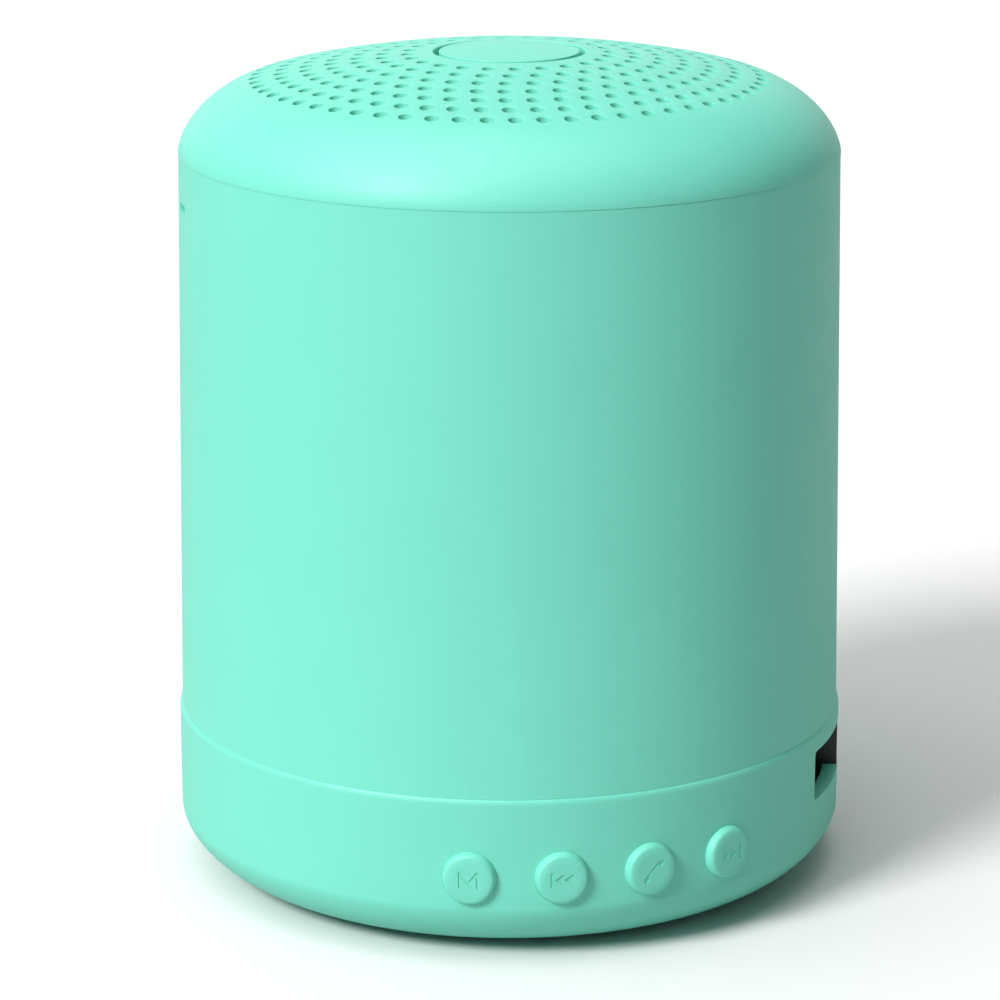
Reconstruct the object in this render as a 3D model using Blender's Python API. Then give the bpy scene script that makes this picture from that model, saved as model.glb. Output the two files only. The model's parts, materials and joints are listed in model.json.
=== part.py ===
"""Portable bluetooth speaker: a round drafted shell, a perforated cap with the driver under it,
and a base that holds the board, the charging socket and four press buttons.

Metres, +Z up, origin at the centre of the face the speaker stands on. The charging socket looks
along +X. A bearing is an angle about Z, counted from -Y towards +X.
"""

import math

import bmesh
import bpy
from mathutils import Matrix, Vector

MM = 0.001

# Gaps between pieces
SEAT_GAP = 0.3 * MM
SMALL_GAP = 0.2 * MM
THREAD_GAP = 0.15 * MM

# Shell
TOP_RADIUS = 26.0 * MM
DRAFT = 0.78 * MM
SEAM_STEP = 0.04 * MM
BASE_HEIGHT = 12.9 * MM
SLEEVE_HEIGHT = 44.65 * MM
WALL = 1.6 * MM
BASE_FLOOR = 1.6 * MM
BASE_EDGE_DEPTH = 0.14 * MM
BASE_EDGE_HEIGHT = 0.32 * MM

# Round between the base's side and its underside
HEEL_RUN = 6.2 * MM
HEEL_RISE = 4.3 * MM
HEEL_SIDE_PULL = 0.3
HEEL_FLOOR_PULL = 0.65

# Cap: a short upright land, a round shoulder, then a shallow dome
CAP_LAND = 0.1 * MM
SHOULDER_RUN = 6.65 * MM
SHOULDER_RISE = 5.66 * MM
SHOULDER_SIDE_PULL = 0.2
SHOULDER_LEAN = 0.14
SHOULDER_TOP_PULL = 0.72
DOME_RADIUS = 89.0 * MM
CAP_WALL = 1.8 * MM

# Grille: rings of holes, six more holes in each ring than in the last
RING_PITCH = 1.98 * MM
FIRST_RING = 4
HOLES_PER_STEP = 6
GRILLE_BEARING = math.radians(23.3)
RING_TWIST = math.radians(2.6)
HOLE_RADIUS = 0.5 * MM
GRILLE_OVERRUN = 0.5 * MM

# Disc in the middle of the cap
DISC_RADIUS = 5.5 * MM
DISC_GROOVE = 0.45 * MM
DISC_RECESS = 0.9 * MM
DISC_PROUD = 0.02 * MM
DISC_CROWN = 0.18 * MM

# Joint between cap, sleeve and base
SPIGOT_DEPTH = 1.3 * MM
SPIGOT_WALL = 1.0 * MM
LIP_HEIGHT = 1.5 * MM
LIP_WALL = 1.15 * MM
LEDGE_WIDTH = 2.0 * MM
LEDGE_THICKNESS = 1.5 * MM

# Foot
FOOT_HEIGHT = 0.4 * MM
FOOT_SUNK = 0.3 * MM
FOOT_RADIUS = 14.3 * MM
FOOT_SIDES = 35

# Lanyard anchor in the sleeve wall
LANYARD_BEARING = math.radians(-84.0)
LANYARD_DROP = 4.45 * MM
LANYARD_SPAN = 6.6 * MM
LANYARD_SLOT_WIDTH = 2.2 * MM
LANYARD_SLOT_HEIGHT = 1.0 * MM
LANYARD_DEPTH = 2.9 * MM
LANYARD_BLOCK_WALL = 1.1 * MM

# Buttons
BUTTON_NAMES = ("mode", "previous", "call", "next")
BUTTON_BEARING = math.radians(-6.5)
BUTTON_SPACING = math.radians(15.0)
BUTTON_DROP = 6.2 * MM
BUTTON_RADIUS = 1.74 * MM
BUTTON_FLARE = 0.36 * MM
BUTTON_PROUD = 0.58 * MM
BUTTON_SLACK = 0.2 * MM
BUTTON_COLLAR = 0.6 * MM
BUTTON_COLLAR_THICKNESS = 0.5 * MM
BUTTON_NUB_RADIUS = 0.7 * MM
BUTTON_NUB_LENGTH = 0.35 * MM
BUTTON_TRAVEL = 0.3 * MM

# Button switches, soldered under the board
SWITCH_WIDTH = 4.6 * MM
SWITCH_DEPTH = 2.2 * MM
SWITCH_HEIGHT = 1.6 * MM
STEM_RADIUS = 0.45 * MM
STEM_REACH = 0.85 * MM
STEM_SUNK = 0.6 * MM

# Charging socket and the window in front of it
WINDOW_WIDTH = 23.3 * MM
WINDOW_HEIGHT = 4.1 * MM
WINDOW_DROP = 1.42 * MM
SOCKET_WIDTH = 7.6 * MM
SOCKET_HEIGHT = 2.5 * MM
SOCKET_DEPTH = 6.0 * MM
SOCKET_SIDE = -6.9 * MM
SOCKET_RECESS = 2.8 * MM
SOCKET_SKIN = 0.3 * MM
SOCKET_TONGUE = 0.5 * MM
CARD_WIDTH = 11.6 * MM
CARD_HEIGHT = 1.45 * MM
CARD_DEPTH = 5.4 * MM
CARD_SIDE = 4.0 * MM
CARD_SLOT = 0.75 * MM
LAMP_SIDE = 11.0 * MM
LAMP_HOLE_RADIUS = 0.5 * MM
INSERT_THICKNESS = 0.7 * MM
INSERT_BORDER = 0.9 * MM
RIB_THICKNESS = 0.7 * MM
RIB_RECESS = 0.1 * MM

# Board
BOARD_THICKNESS = 0.8 * MM
BOARD_DROP = 4.7 * MM
BOARD_MARGIN = 1.9 * MM

# Screws that hold base, sleeve and chamber floor together
BASE_SCREW_BEARINGS = tuple(math.radians(b) for b in (45, 165, 285))
BASE_SCREW_CIRCLE = 17.0 * MM
POST_RADIUS = 2.6 * MM
BASE_SCREW_RADIUS = 0.9 * MM
BASE_SCREW_HEAD_RADIUS = 1.7 * MM
BASE_SCREW_HEAD = 1.5 * MM
BASE_SCREW_SUNK = 1.2 * MM
BASE_SCREW_BITE = 3.2 * MM

# Screws that hold the board
BOARD_SCREW_BEARINGS = tuple(math.radians(b) for b in (133, 253))
BOARD_SCREW_CIRCLE = 13.0 * MM
STANDOFF_RADIUS = 1.9 * MM
BOARD_SCREW_RADIUS = 0.65 * MM
BOARD_SCREW_HEAD_RADIUS = 1.4 * MM
BOARD_SCREW_HEAD = 1.0 * MM
BOARD_SCREW_BITE = 3.2 * MM

# Floor of the sound chamber
CHAMBER_FLOOR = 1.2 * MM
GROMMET_BEARING = math.radians(200.0)
GROMMET_CIRCLE = 19.0 * MM
GROMMET_RADIUS = 2.4 * MM
GROMMET_BORE = 1.7 * MM
GROMMET_FLANGE = 0.7 * MM
GROMMET_FLANGE_THICKNESS = 0.6 * MM

# Battery
CELL_LENGTH = 30.0 * MM
CELL_WIDTH = 20.0 * MM
CELL_THICKNESS = 6.0 * MM
CELL_ROUND = 1.2 * MM
PAD_THICKNESS = 1.0 * MM
CLAMP_WIDTH = 8.0 * MM
CLAMP_THICKNESS = 1.0 * MM
GUARD_THICKNESS = 0.9 * MM

# Driver
FLANGE_THICKNESS = 0.8 * MM
GASKET_THICKNESS = 0.4 * MM
FLANGE_LEDGE_RISE = 0.65 * MM
BASKET_NECK = 0.45 * MM
BASKET_WALL = 0.8 * MM
BASKET_DEPTH = 10.2 * MM
SPIDER_SHELF_RADIUS = 14.8 * MM
SPIDER_SHELF_WIDTH = 1.4 * MM
SPIDER_SHELF_RISE = 1.7 * MM
SURROUND_WIDTH = 3.2 * MM
SURROUND_LIP = 0.6 * MM
SURROUND_SKIN = 0.3 * MM
SPIDER_SKIN = 0.3 * MM
SPIDER_WAVE = 0.5 * MM
SPIDER_WAVES = 2
CONE_SKIN = 0.45 * MM
CONE_DEPTH = 4.8 * MM
CONE_TRAVEL = 0.8 * MM
DUST_CAP_RADIUS = 8.4 * MM
DUST_CAP_RISE = 2.4 * MM
POLE_RADIUS = 6.2 * MM
COIL_WALL = 0.8 * MM
COIL_LENGTH = 10.5 * MM
COIL_BELOW_PLATE = 2.2 * MM
PLATE_RADIUS = 14.2 * MM
PLATE_THICKNESS = 2.0 * MM
MAGNET_RADIUS = 16.0 * MM
MAGNET_BORE = 8.6 * MM
MAGNET_THICKNESS = 4.9 * MM
YOKE_RADIUS = 14.6 * MM
YOKE_THICKNESS = 2.2 * MM
TERMINAL_WIDTH = 7.0 * MM
TERMINAL_DEPTH = 3.0 * MM
DRIVER_SCREW_BEARINGS = tuple(math.radians(b) for b in (107, 227, 347))
DRIVER_SCREW_RADIUS = 0.6 * MM
DRIVER_SCREW_HEAD_RADIUS = 1.1 * MM
DRIVER_SCREW_HEAD = 0.9 * MM
DRIVER_SCREW_BITE = 2.4 * MM

# Dust cloth under the grille
CLOTH_THICKNESS = 0.3 * MM

# Wires
WIRE_RADIUS = 0.35 * MM
WIRE_SPREAD = 0.7 * MM

# Facets
SHELL_SIDES = 48
DRIVER_SIDES = 24
SMALL_SIDES = 12
HOLE_SIDES = 4

# Levels and radii that follow from the sizes above
BASE_RADIUS = TOP_RADIUS + DRAFT
UNDERSIDE_Z = FOOT_HEIGHT
BASE_TOP_Z = UNDERSIDE_Z + BASE_HEIGHT
CAP_Z = BASE_TOP_Z + SLEEVE_HEIGHT
SHOULDER_Z = CAP_Z + CAP_LAND
DOME_EDGE_RADIUS = TOP_RADIUS - SHOULDER_RUN
APEX_Z = SHOULDER_Z + SHOULDER_RISE + DOME_EDGE_RADIUS**2 / (2 * DOME_RADIUS)
BASE_INNER_RADIUS = BASE_RADIUS - WALL
SLEEVE_TOP_RADIUS = TOP_RADIUS - SEAM_STEP
SLEEVE_FOOT_RADIUS = BASE_RADIUS - SEAM_STEP
SLEEVE_TOP_Z = CAP_Z - SEAT_GAP
SLEEVE_FOOT_Z = BASE_TOP_Z + SEAT_GAP
LIP_RADIUS = SLEEVE_FOOT_RADIUS - WALL - SEAT_GAP
LIP_TOP_Z = BASE_TOP_Z + LIP_HEIGHT
LEDGE_Z = LIP_TOP_Z + SEAT_GAP
LEDGE_TOP_Z = LEDGE_Z + LEDGE_THICKNESS
SPIGOT_RADIUS = SLEEVE_TOP_RADIUS - WALL - SEAT_GAP
SPIGOT_Z = CAP_Z - SPIGOT_DEPTH
FLOOR_Z = LEDGE_TOP_Z + SEAT_GAP
FLOOR_TOP_Z = FLOOR_Z + CHAMBER_FLOOR
POST_TOP_Z = BASE_TOP_Z - SEAT_GAP
BOARD_TOP_Z = BASE_TOP_Z - BOARD_DROP
BOARD_Z = BOARD_TOP_Z - BOARD_THICKNESS
BOARD_RADIUS = BASE_INNER_RADIUS - BOARD_MARGIN
BUTTON_Z = BASE_TOP_Z - BUTTON_DROP
COLLAR_RADIUS = BUTTON_RADIUS + BUTTON_FLARE + BUTTON_COLLAR
HEEL_INNER_Z = min(UNDERSIDE_Z + HEEL_RISE, BUTTON_Z - COLLAR_RADIUS - SMALL_GAP)
WINDOW_TOP_Z = BASE_TOP_Z - WINDOW_DROP
WINDOW_Z = WINDOW_TOP_Z - WINDOW_HEIGHT
SOCKET_FACE_X = BASE_RADIUS - SOCKET_RECESS
SOCKET_Z = BOARD_TOP_Z + SMALL_GAP
FLANGE_RADIUS = SPIGOT_RADIUS - SPIGOT_WALL - SEAT_GAP
CAVITY_RADIUS = DOME_EDGE_RADIUS + GRILLE_OVERRUN + HOLE_RADIUS + 0.08 * MM
SEAT_Z = CAP_Z + FLANGE_LEDGE_RISE
GASKET_TOP_Z = SEAT_Z - SEAT_GAP
FLANGE_TOP_Z = GASKET_TOP_Z - GASKET_THICKNESS - SEAT_GAP
FLANGE_Z = FLANGE_TOP_Z - FLANGE_THICKNESS
DRIVER_SCREW_CIRCLE = FLANGE_RADIUS - DRIVER_SCREW_HEAD_RADIUS - 0.05 * MM
SURROUND_RADIUS = CAVITY_RADIUS - SEAT_GAP
FRAME_INNER_RADIUS = SURROUND_RADIUS - SURROUND_LIP
BASKET_Z = FLANGE_TOP_Z - BASKET_DEPTH
PLATE_TOP_Z = BASKET_Z - SEAT_GAP
PLATE_Z = PLATE_TOP_Z - PLATE_THICKNESS
MAGNET_TOP_Z = PLATE_Z - SEAT_GAP
MAGNET_Z = MAGNET_TOP_Z - MAGNET_THICKNESS
YOKE_TOP_Z = MAGNET_Z - SEAT_GAP
YOKE_Z = YOKE_TOP_Z - YOKE_THICKNESS
COIL_INNER_RADIUS = POLE_RADIUS + SEAT_GAP
COIL_RADIUS = COIL_INNER_RADIUS + COIL_WALL
COIL_Z = PLATE_Z - COIL_BELOW_PLATE
COIL_TOP_Z = COIL_Z + COIL_LENGTH
PLATE_BORE = COIL_RADIUS + SEAT_GAP
SPIDER_SHELF_Z = BASKET_Z + BASKET_WALL + SPIDER_SHELF_RISE
SPIDER_Z = SPIDER_SHELF_Z + SEAT_GAP + SPIDER_WAVE
SURROUND_Z = FLANGE_TOP_Z + SEAT_GAP
CONE_RADIUS = SURROUND_RADIUS - SURROUND_WIDTH - SMALL_GAP
CONE_NECK_RADIUS = COIL_RADIUS + SMALL_GAP
CONE_TOP_Z = SURROUND_Z
CONE_NECK_Z = CONE_TOP_Z - CONE_DEPTH

MINT = (0.205, 0.745, 0.575)
DEEP_MINT = (0.15, 0.56, 0.43)


# ---------------------------------------------------------------- building tools


def clear_scene():
    for obj in list(bpy.data.objects):
        bpy.data.objects.remove(obj, do_unlink=True)


def material(name, colour, roughness, metallic=0.0):
    made = bpy.data.materials.get(name)
    if made is None:
        made = bpy.data.materials.new(name)
        made.use_nodes = True
        shader = made.node_tree.nodes["Principled BSDF"]
        shader.inputs["Base Color"].default_value = (*colour, 1.0)
        shader.inputs["Roughness"].default_value = roughness
        shader.inputs["Metallic"].default_value = metallic
    return made


def place_at(bearing, radius, z=0.0):
    return Vector((radius * math.sin(bearing), -radius * math.cos(bearing), z))


def outward(bearing, radius, z):
    """A placing whose local +Z points away from the axis, and local +Y points up."""
    turn = Matrix.Rotation(bearing, 4, "Z") @ Matrix.Rotation(math.radians(90.0), 4, "X")
    return Matrix.Translation(place_at(bearing, radius, z)) @ turn


def bezier(start, start_pull, end_pull, end, count):
    points = []
    for step in range(count + 1):
        t = step / count
        weights = ((1 - t) ** 3, 3 * t * (1 - t) ** 2, 3 * t * t * (1 - t), t**3)
        corners = (start, start_pull, end_pull, end)
        points.append(tuple(sum(w * c[axis] for w, c in zip(weights, corners)) for axis in (0, 1)))
    return points


def finished(name, bm, finish, placing=Matrix.Identity(4)):
    bmesh.ops.recalc_face_normals(bm, faces=bm.faces)
    mesh = bpy.data.meshes.new(name)
    bm.to_mesh(mesh)
    bm.free()
    mesh.shade_smooth()
    mesh.set_sharp_from_angle(angle=math.radians(32.0))
    obj = bpy.data.objects.new(name, mesh)
    bpy.context.scene.collection.objects.link(obj)
    obj.matrix_world = placing
    if finish is not None:
        mesh.materials.append(finish)
    return obj


def spun(bm, outline, sides):
    """Spins an outline of (radius, height) points about Z. One that starts on the axis also ends there."""
    on_axis = outline[0][0] == 0.0
    verts = [bm.verts.new((radius, 0.0, height)) for radius, height in outline]
    pairs = list(zip(verts, verts[1:]))
    if not on_axis:
        pairs.append((verts[-1], verts[0]))
    edges = [bm.edges.new(pair) for pair in pairs]
    full_turn = 2 * math.pi
    bmesh.ops.spin(
        bm,
        geom=verts + edges,
        cent=(0.0, 0.0, 0.0),
        axis=(0.0, 0.0, 1.0),
        angle=full_turn,
        steps=sides,
        use_merge=True,
    )
    bmesh.ops.remove_doubles(bm, verts=bm.verts, dist=1e-8)


def turned(name, outline, finish, sides=SMALL_SIDES, placing=Matrix.Identity(4)):
    bm = bmesh.new()
    spun(bm, outline, sides)
    return finished(name, bm, finish, placing)


def rod(radius, low, high):
    return [(0.0, low), (radius, low), (radius, high), (0.0, high)]


def ring(inner, outer, low, high):
    return [(inner, low), (outer, low), (outer, high), (inner, high)]


def add_prism(bm, outline, low, high, placing=Matrix.Identity(4)):
    """An outline of (x, y) points carried from one height to another."""
    verts = [bm.verts.new(placing @ Vector((x, y, low))) for x, y in outline]
    face = bm.faces.new(verts)
    lifted = bmesh.ops.extrude_face_region(bm, geom=[face])["geom"]
    raised = [item for item in lifted if isinstance(item, bmesh.types.BMVert)]
    step = (placing @ Vector((0, 0, high))) - (placing @ Vector((0, 0, low)))
    bmesh.ops.translate(bm, verts=raised, vec=step)


def add_rod(bm, radius, low, high, placing=Matrix.Identity(4), sides=SMALL_SIDES):
    corners = [2 * math.pi * (side + 0.5) / sides for side in range(sides)]
    outline = [(radius * math.cos(a), radius * math.sin(a)) for a in corners]
    add_prism(bm, outline, low, high, placing)


def prism(name, outline, low, high, finish, placing=Matrix.Identity(4)):
    bm = bmesh.new()
    add_prism(bm, outline, low, high, placing)
    return finished(name, bm, finish)


def rectangle(length, width, x=0.0, y=0.0):
    half_x, half_y = length / 2, width / 2
    return [(x - half_x, y - half_y), (x + half_x, y - half_y), (x + half_x, y + half_y), (x - half_x, y + half_y)]


def block(name, size, centre, finish, bearing=0.0, round_edge=0.0):
    bm = bmesh.new()
    bmesh.ops.create_cube(bm, size=1.0)
    bmesh.ops.scale(bm, vec=size, verts=bm.verts)
    if round_edge:
        bmesh.ops.bevel(bm, geom=bm.edges, offset=round_edge, segments=2, profile=0.5, affect="EDGES")
    placing = Matrix.Translation(centre) @ Matrix.Rotation(bearing, 4, "Z")
    return finished(name, bm, finish, placing)


def helper(name, bm, placing=Matrix.Identity(4)):
    obj = finished(name, bm, None, placing)
    obj.hide_render = True
    obj.display_type = "WIRE"
    return obj


def combine(target, tool, operation):
    modifier = target.modifiers.new(tool.name, "BOOLEAN")
    modifier.operation = operation
    modifier.object = tool


# ---------------------------------------------------------------- shell


def dome_z(radius):
    return APEX_Z - radius**2 / (2 * DOME_RADIUS)


def shoulder_points(count):
    slope = DOME_EDGE_RADIUS / DOME_RADIUS
    edge = (DOME_EDGE_RADIUS, dome_z(DOME_EDGE_RADIUS))
    reach = SHOULDER_TOP_PULL * SHOULDER_RUN
    side = (TOP_RADIUS, SHOULDER_Z)
    rise = SHOULDER_SIDE_PULL * SHOULDER_RISE
    side_pull = (TOP_RADIUS - SHOULDER_LEAN * rise, SHOULDER_Z + rise)
    return bezier(edge, (edge[0] + reach, edge[1] - reach * slope), side_pull, side, count)


def heel_points(count):
    side = (BASE_RADIUS, UNDERSIDE_Z + HEEL_RISE)
    side_pull = (BASE_RADIUS, side[1] - HEEL_SIDE_PULL * HEEL_RISE)
    flat = (BASE_RADIUS - HEEL_RUN, UNDERSIDE_Z)
    flat_pull = (flat[0] + HEEL_FLOOR_PULL * HEEL_RUN, UNDERSIDE_Z)
    return bezier(side, side_pull, flat_pull, flat, count)


def grille_holes():
    """(radius, bearing) of each hole. Each ring is turned a little past the ring inside it."""
    holes = []
    number = FIRST_RING
    while number * RING_PITCH <= DOME_EDGE_RADIUS + GRILLE_OVERRUN:
        count = HOLES_PER_STEP * number
        start = GRILLE_BEARING + number * RING_TWIST
        holes += [(number * RING_PITCH, start + 2 * math.pi * k / count) for k in range(count)]
        number += 1
    return holes


def make_top_cap(finish):
    recess_radius = DISC_RADIUS + DISC_GROOVE
    recess_z = APEX_Z - DISC_RECESS
    spigot_inner = SPIGOT_RADIUS - SPIGOT_WALL
    seat_inner = CAVITY_RADIUS
    dome_steps = 2
    dome = [recess_radius + (DOME_EDGE_RADIUS - recess_radius) * i / dome_steps for i in range(dome_steps)]
    inner = [seat_inner * (1 - i / dome_steps) for i in range(dome_steps + 1)]
    outline = [(0.0, recess_z), (recess_radius, recess_z)]
    outline += [(radius, dome_z(radius)) for radius in dome]
    outline += shoulder_points(6)
    outline += [(TOP_RADIUS, CAP_Z), (SPIGOT_RADIUS, CAP_Z), (SPIGOT_RADIUS, SPIGOT_Z)]
    outline += [(spigot_inner, SPIGOT_Z), (spigot_inner, SEAT_Z), (seat_inner, SEAT_Z)]
    outline += [(radius, dome_z(radius) - CAP_WALL) for radius in inner]
    outline[-1] = (0.0, outline[-1][1])
    cap = turned("top_cap", outline, finish, SHELL_SIDES)
    holes = bmesh.new()
    for radius, bearing in grille_holes():
        spot = Matrix.Translation(place_at(bearing, radius)) @ Matrix.Rotation(bearing, 4, "Z")
        low = dome_z(radius) - CAP_WALL - 1.0 * MM
        add_rod(holes, HOLE_RADIUS, low, dome_z(radius) + 1.0 * MM, spot, HOLE_SIDES)
    combine(cap, helper("grille_hole_cutter", holes), "DIFFERENCE")
    pilots = bmesh.new()
    for bearing in DRIVER_SCREW_BEARINGS:
        spot = Matrix.Translation(place_at(bearing, DRIVER_SCREW_CIRCLE))
        top = SEAT_Z + DRIVER_SCREW_BITE + SMALL_GAP
        add_rod(pilots, DRIVER_SCREW_RADIUS + THREAD_GAP, SEAT_Z - 1.0 * MM, top, spot, 8)
    combine(cap, helper("driver_pilot_cutter", pilots), "DIFFERENCE")


def make_centre_disc(finish):
    under_z = APEX_Z - DISC_RECESS + SEAT_GAP
    edge_z = dome_z(DISC_RADIUS) + DISC_PROUD
    chamfer = 0.25 * MM
    outline = [
        (0.0, edge_z + DISC_CROWN),
        (DISC_RADIUS - chamfer, edge_z),
        (DISC_RADIUS, edge_z - chamfer),
        (DISC_RADIUS, under_z),
        (0.0, under_z),
    ]
    turned("centre_disc", outline, finish, 36)


def make_dust_cloth(finish):
    radius = CAVITY_RADIUS - SEAT_GAP
    steps = 3
    drop = CAP_WALL + SEAT_GAP
    upper = [(radius * i / steps, dome_z(radius * i / steps) - drop) for i in range(steps + 1)]
    lower = [(r, z - CLOTH_THICKNESS) for r, z in reversed(upper)]
    turned("dust_cloth", upper + lower, finish, 24)


def sleeve_radius(z):
    share = (z - BASE_TOP_Z) / SLEEVE_HEIGHT
    return SLEEVE_FOOT_RADIUS + (SLEEVE_TOP_RADIUS - SLEEVE_FOOT_RADIUS) * share


def make_outer_sleeve(finish):
    ledge_inner = SLEEVE_FOOT_RADIUS - WALL - LEDGE_WIDTH
    top, foot = SLEEVE_TOP_Z, SLEEVE_FOOT_Z
    outline = [
        (sleeve_radius(top), top),
        (sleeve_radius(foot), foot),
        (sleeve_radius(foot) - WALL, foot),
        (sleeve_radius(LEDGE_Z) - WALL, LEDGE_Z),
        (ledge_inner, LEDGE_Z),
        (ledge_inner, LEDGE_TOP_Z),
        (sleeve_radius(LEDGE_TOP_Z) - WALL, LEDGE_TOP_Z),
        (sleeve_radius(top) - WALL, top),
    ]
    sleeve = turned("outer_sleeve", outline, finish, SHELL_SIDES)
    level = CAP_Z - LANYARD_DROP
    outer = sleeve_radius(level)
    half_height = LANYARD_SLOT_HEIGHT / 2
    reach = outer - WALL - LANYARD_DEPTH / 2
    back = reach - LANYARD_BLOCK_WALL
    half_span = (LANYARD_SPAN + LANYARD_SLOT_WIDTH) / 2
    half_block = half_span + LANYARD_BLOCK_WALL
    turn = Matrix.Translation((0, 0, level)) @ Matrix.Rotation(LANYARD_BEARING, 4, "Z")
    front = outer - WALL / 2
    anchor = bmesh.new()
    outline = [(-half_block, -back), (half_block, -back), (half_block, -front + WALL / 4), (-half_block, -front + WALL / 4)]
    height = half_height + LANYARD_BLOCK_WALL
    add_prism(anchor, outline, -height, height, turn)
    combine(sleeve, helper("lanyard_block", anchor), "UNION")
    tunnel = bmesh.new()
    bridge = outer - WALL
    clear = outer + 1.0 * MM
    inner_half = half_span - LANYARD_SLOT_WIDTH
    outline = [
        (-half_span, -clear),
        (-inner_half, -clear),
        (-inner_half, -bridge),
        (inner_half, -bridge),
        (inner_half, -clear),
        (half_span, -clear),
        (half_span, -reach),
        (-half_span, -reach),
    ]
    add_prism(tunnel, outline, -half_height, half_height, turn)
    combine(sleeve, helper("lanyard_cutter", tunnel), "DIFFERENCE")


def make_base_housing(finish):
    floor_z = UNDERSIDE_Z + BASE_FLOOR
    recess_radius = FOOT_RADIUS + SEAT_GAP
    recess_z = UNDERSIDE_Z + FOOT_SUNK + SEAT_GAP
    lip_inner = LIP_RADIUS - LIP_WALL
    outline = [
        (lip_inner, LIP_TOP_Z),
        (LIP_RADIUS, LIP_TOP_Z),
        (LIP_RADIUS, BASE_TOP_Z),
        (BASE_RADIUS - BASE_EDGE_DEPTH, BASE_TOP_Z),
        (BASE_RADIUS, BASE_TOP_Z - BASE_EDGE_HEIGHT),
    ]
    outline += heel_points(5)
    outline += [
        (recess_radius, UNDERSIDE_Z),
        (recess_radius, recess_z),
        (0.0, recess_z),
        (0.0, floor_z),
        (BASE_RADIUS - HEEL_RUN, floor_z),
        (BASE_INNER_RADIUS, HEEL_INNER_Z),
        (BASE_INNER_RADIUS, WINDOW_TOP_Z),
        (lip_inner, BASE_TOP_Z - SEAT_GAP),
    ]
    start = outline.index((0.0, floor_z))
    base = turned("base_housing", outline[start:] + outline[:start], finish, SHELL_SIDES)

    pillars = bmesh.new()
    for bearing in BASE_SCREW_BEARINGS:
        spot = Matrix.Translation(place_at(bearing, BASE_SCREW_CIRCLE))
        add_rod(pillars, POST_RADIUS, floor_z - BASE_FLOOR / 2, POST_TOP_Z, spot)
    for bearing in BOARD_SCREW_BEARINGS:
        spot = Matrix.Translation(place_at(bearing, BOARD_SCREW_CIRCLE))
        add_rod(pillars, STANDOFF_RADIUS, floor_z - BASE_FLOOR / 4, BOARD_Z - SMALL_GAP, spot)
    combine(base, helper("base_pillars", pillars), "UNION")

    bores = bmesh.new()
    shoulder_z = UNDERSIDE_Z + BASE_SCREW_SUNK + BASE_SCREW_HEAD + SEAT_GAP
    for bearing in BASE_SCREW_BEARINGS:
        spot = place_at(bearing, BASE_SCREW_CIRCLE)
        steps = [
            (0.0, UNDERSIDE_Z - 1.0 * MM),
            (BASE_SCREW_HEAD_RADIUS + SEAT_GAP, UNDERSIDE_Z - 1.0 * MM),
            (BASE_SCREW_HEAD_RADIUS + SEAT_GAP, shoulder_z),
            (BASE_SCREW_RADIUS + SEAT_GAP, shoulder_z),
            (BASE_SCREW_RADIUS + SEAT_GAP, POST_TOP_Z + 1.0 * MM),
            (0.0, POST_TOP_Z + 1.0 * MM),
        ]
        before = set(bores.verts)
        spun(bores, steps, SMALL_SIDES)
        bmesh.ops.translate(bores, verts=[v for v in bores.verts if v not in before], vec=spot)
    for bearing in BOARD_SCREW_BEARINGS:
        spot = Matrix.Translation(place_at(bearing, BOARD_SCREW_CIRCLE))
        low = BOARD_Z - BOARD_SCREW_BITE - SMALL_GAP
        add_rod(bores, BOARD_SCREW_RADIUS + THREAD_GAP, low, BOARD_Z + 1.0 * MM, spot, 8)
    combine(base, helper("base_bore_cutter", bores), "DIFFERENCE")

    gaps = bmesh.new()
    hole_radius = BUTTON_RADIUS + BUTTON_FLARE + BUTTON_SLACK
    for bearing in button_bearings():
        spot = outward(bearing, BASE_RADIUS, BUTTON_Z)
        add_rod(gaps, hole_radius, -WALL - 1.0 * MM, 1.0 * MM, spot, 16)
    window_centre = (WINDOW_Z + WINDOW_TOP_Z) / 2
    spot = facing_out(insert_front(), 0.0, window_centre)
    clear = BASE_RADIUS - insert_front() + 1.0 * MM
    add_prism(gaps, rectangle(WINDOW_WIDTH, WINDOW_HEIGHT), 0.0, clear, spot)
    combine(base, helper("base_opening_cutter", gaps), "DIFFERENCE")


def make_foot_pad(finish):
    outline = [(FOOT_RADIUS * math.cos(a), FOOT_RADIUS * math.sin(a)) for a in turns(FOOT_SIDES)]
    prism("foot_pad", outline, 0.0, FOOT_HEIGHT + FOOT_SUNK, finish)


# ---------------------------------------------------------------- buttons and switches


def button_bearings():
    return [BUTTON_BEARING + i * BUTTON_SPACING for i in range(len(BUTTON_NAMES))]


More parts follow.
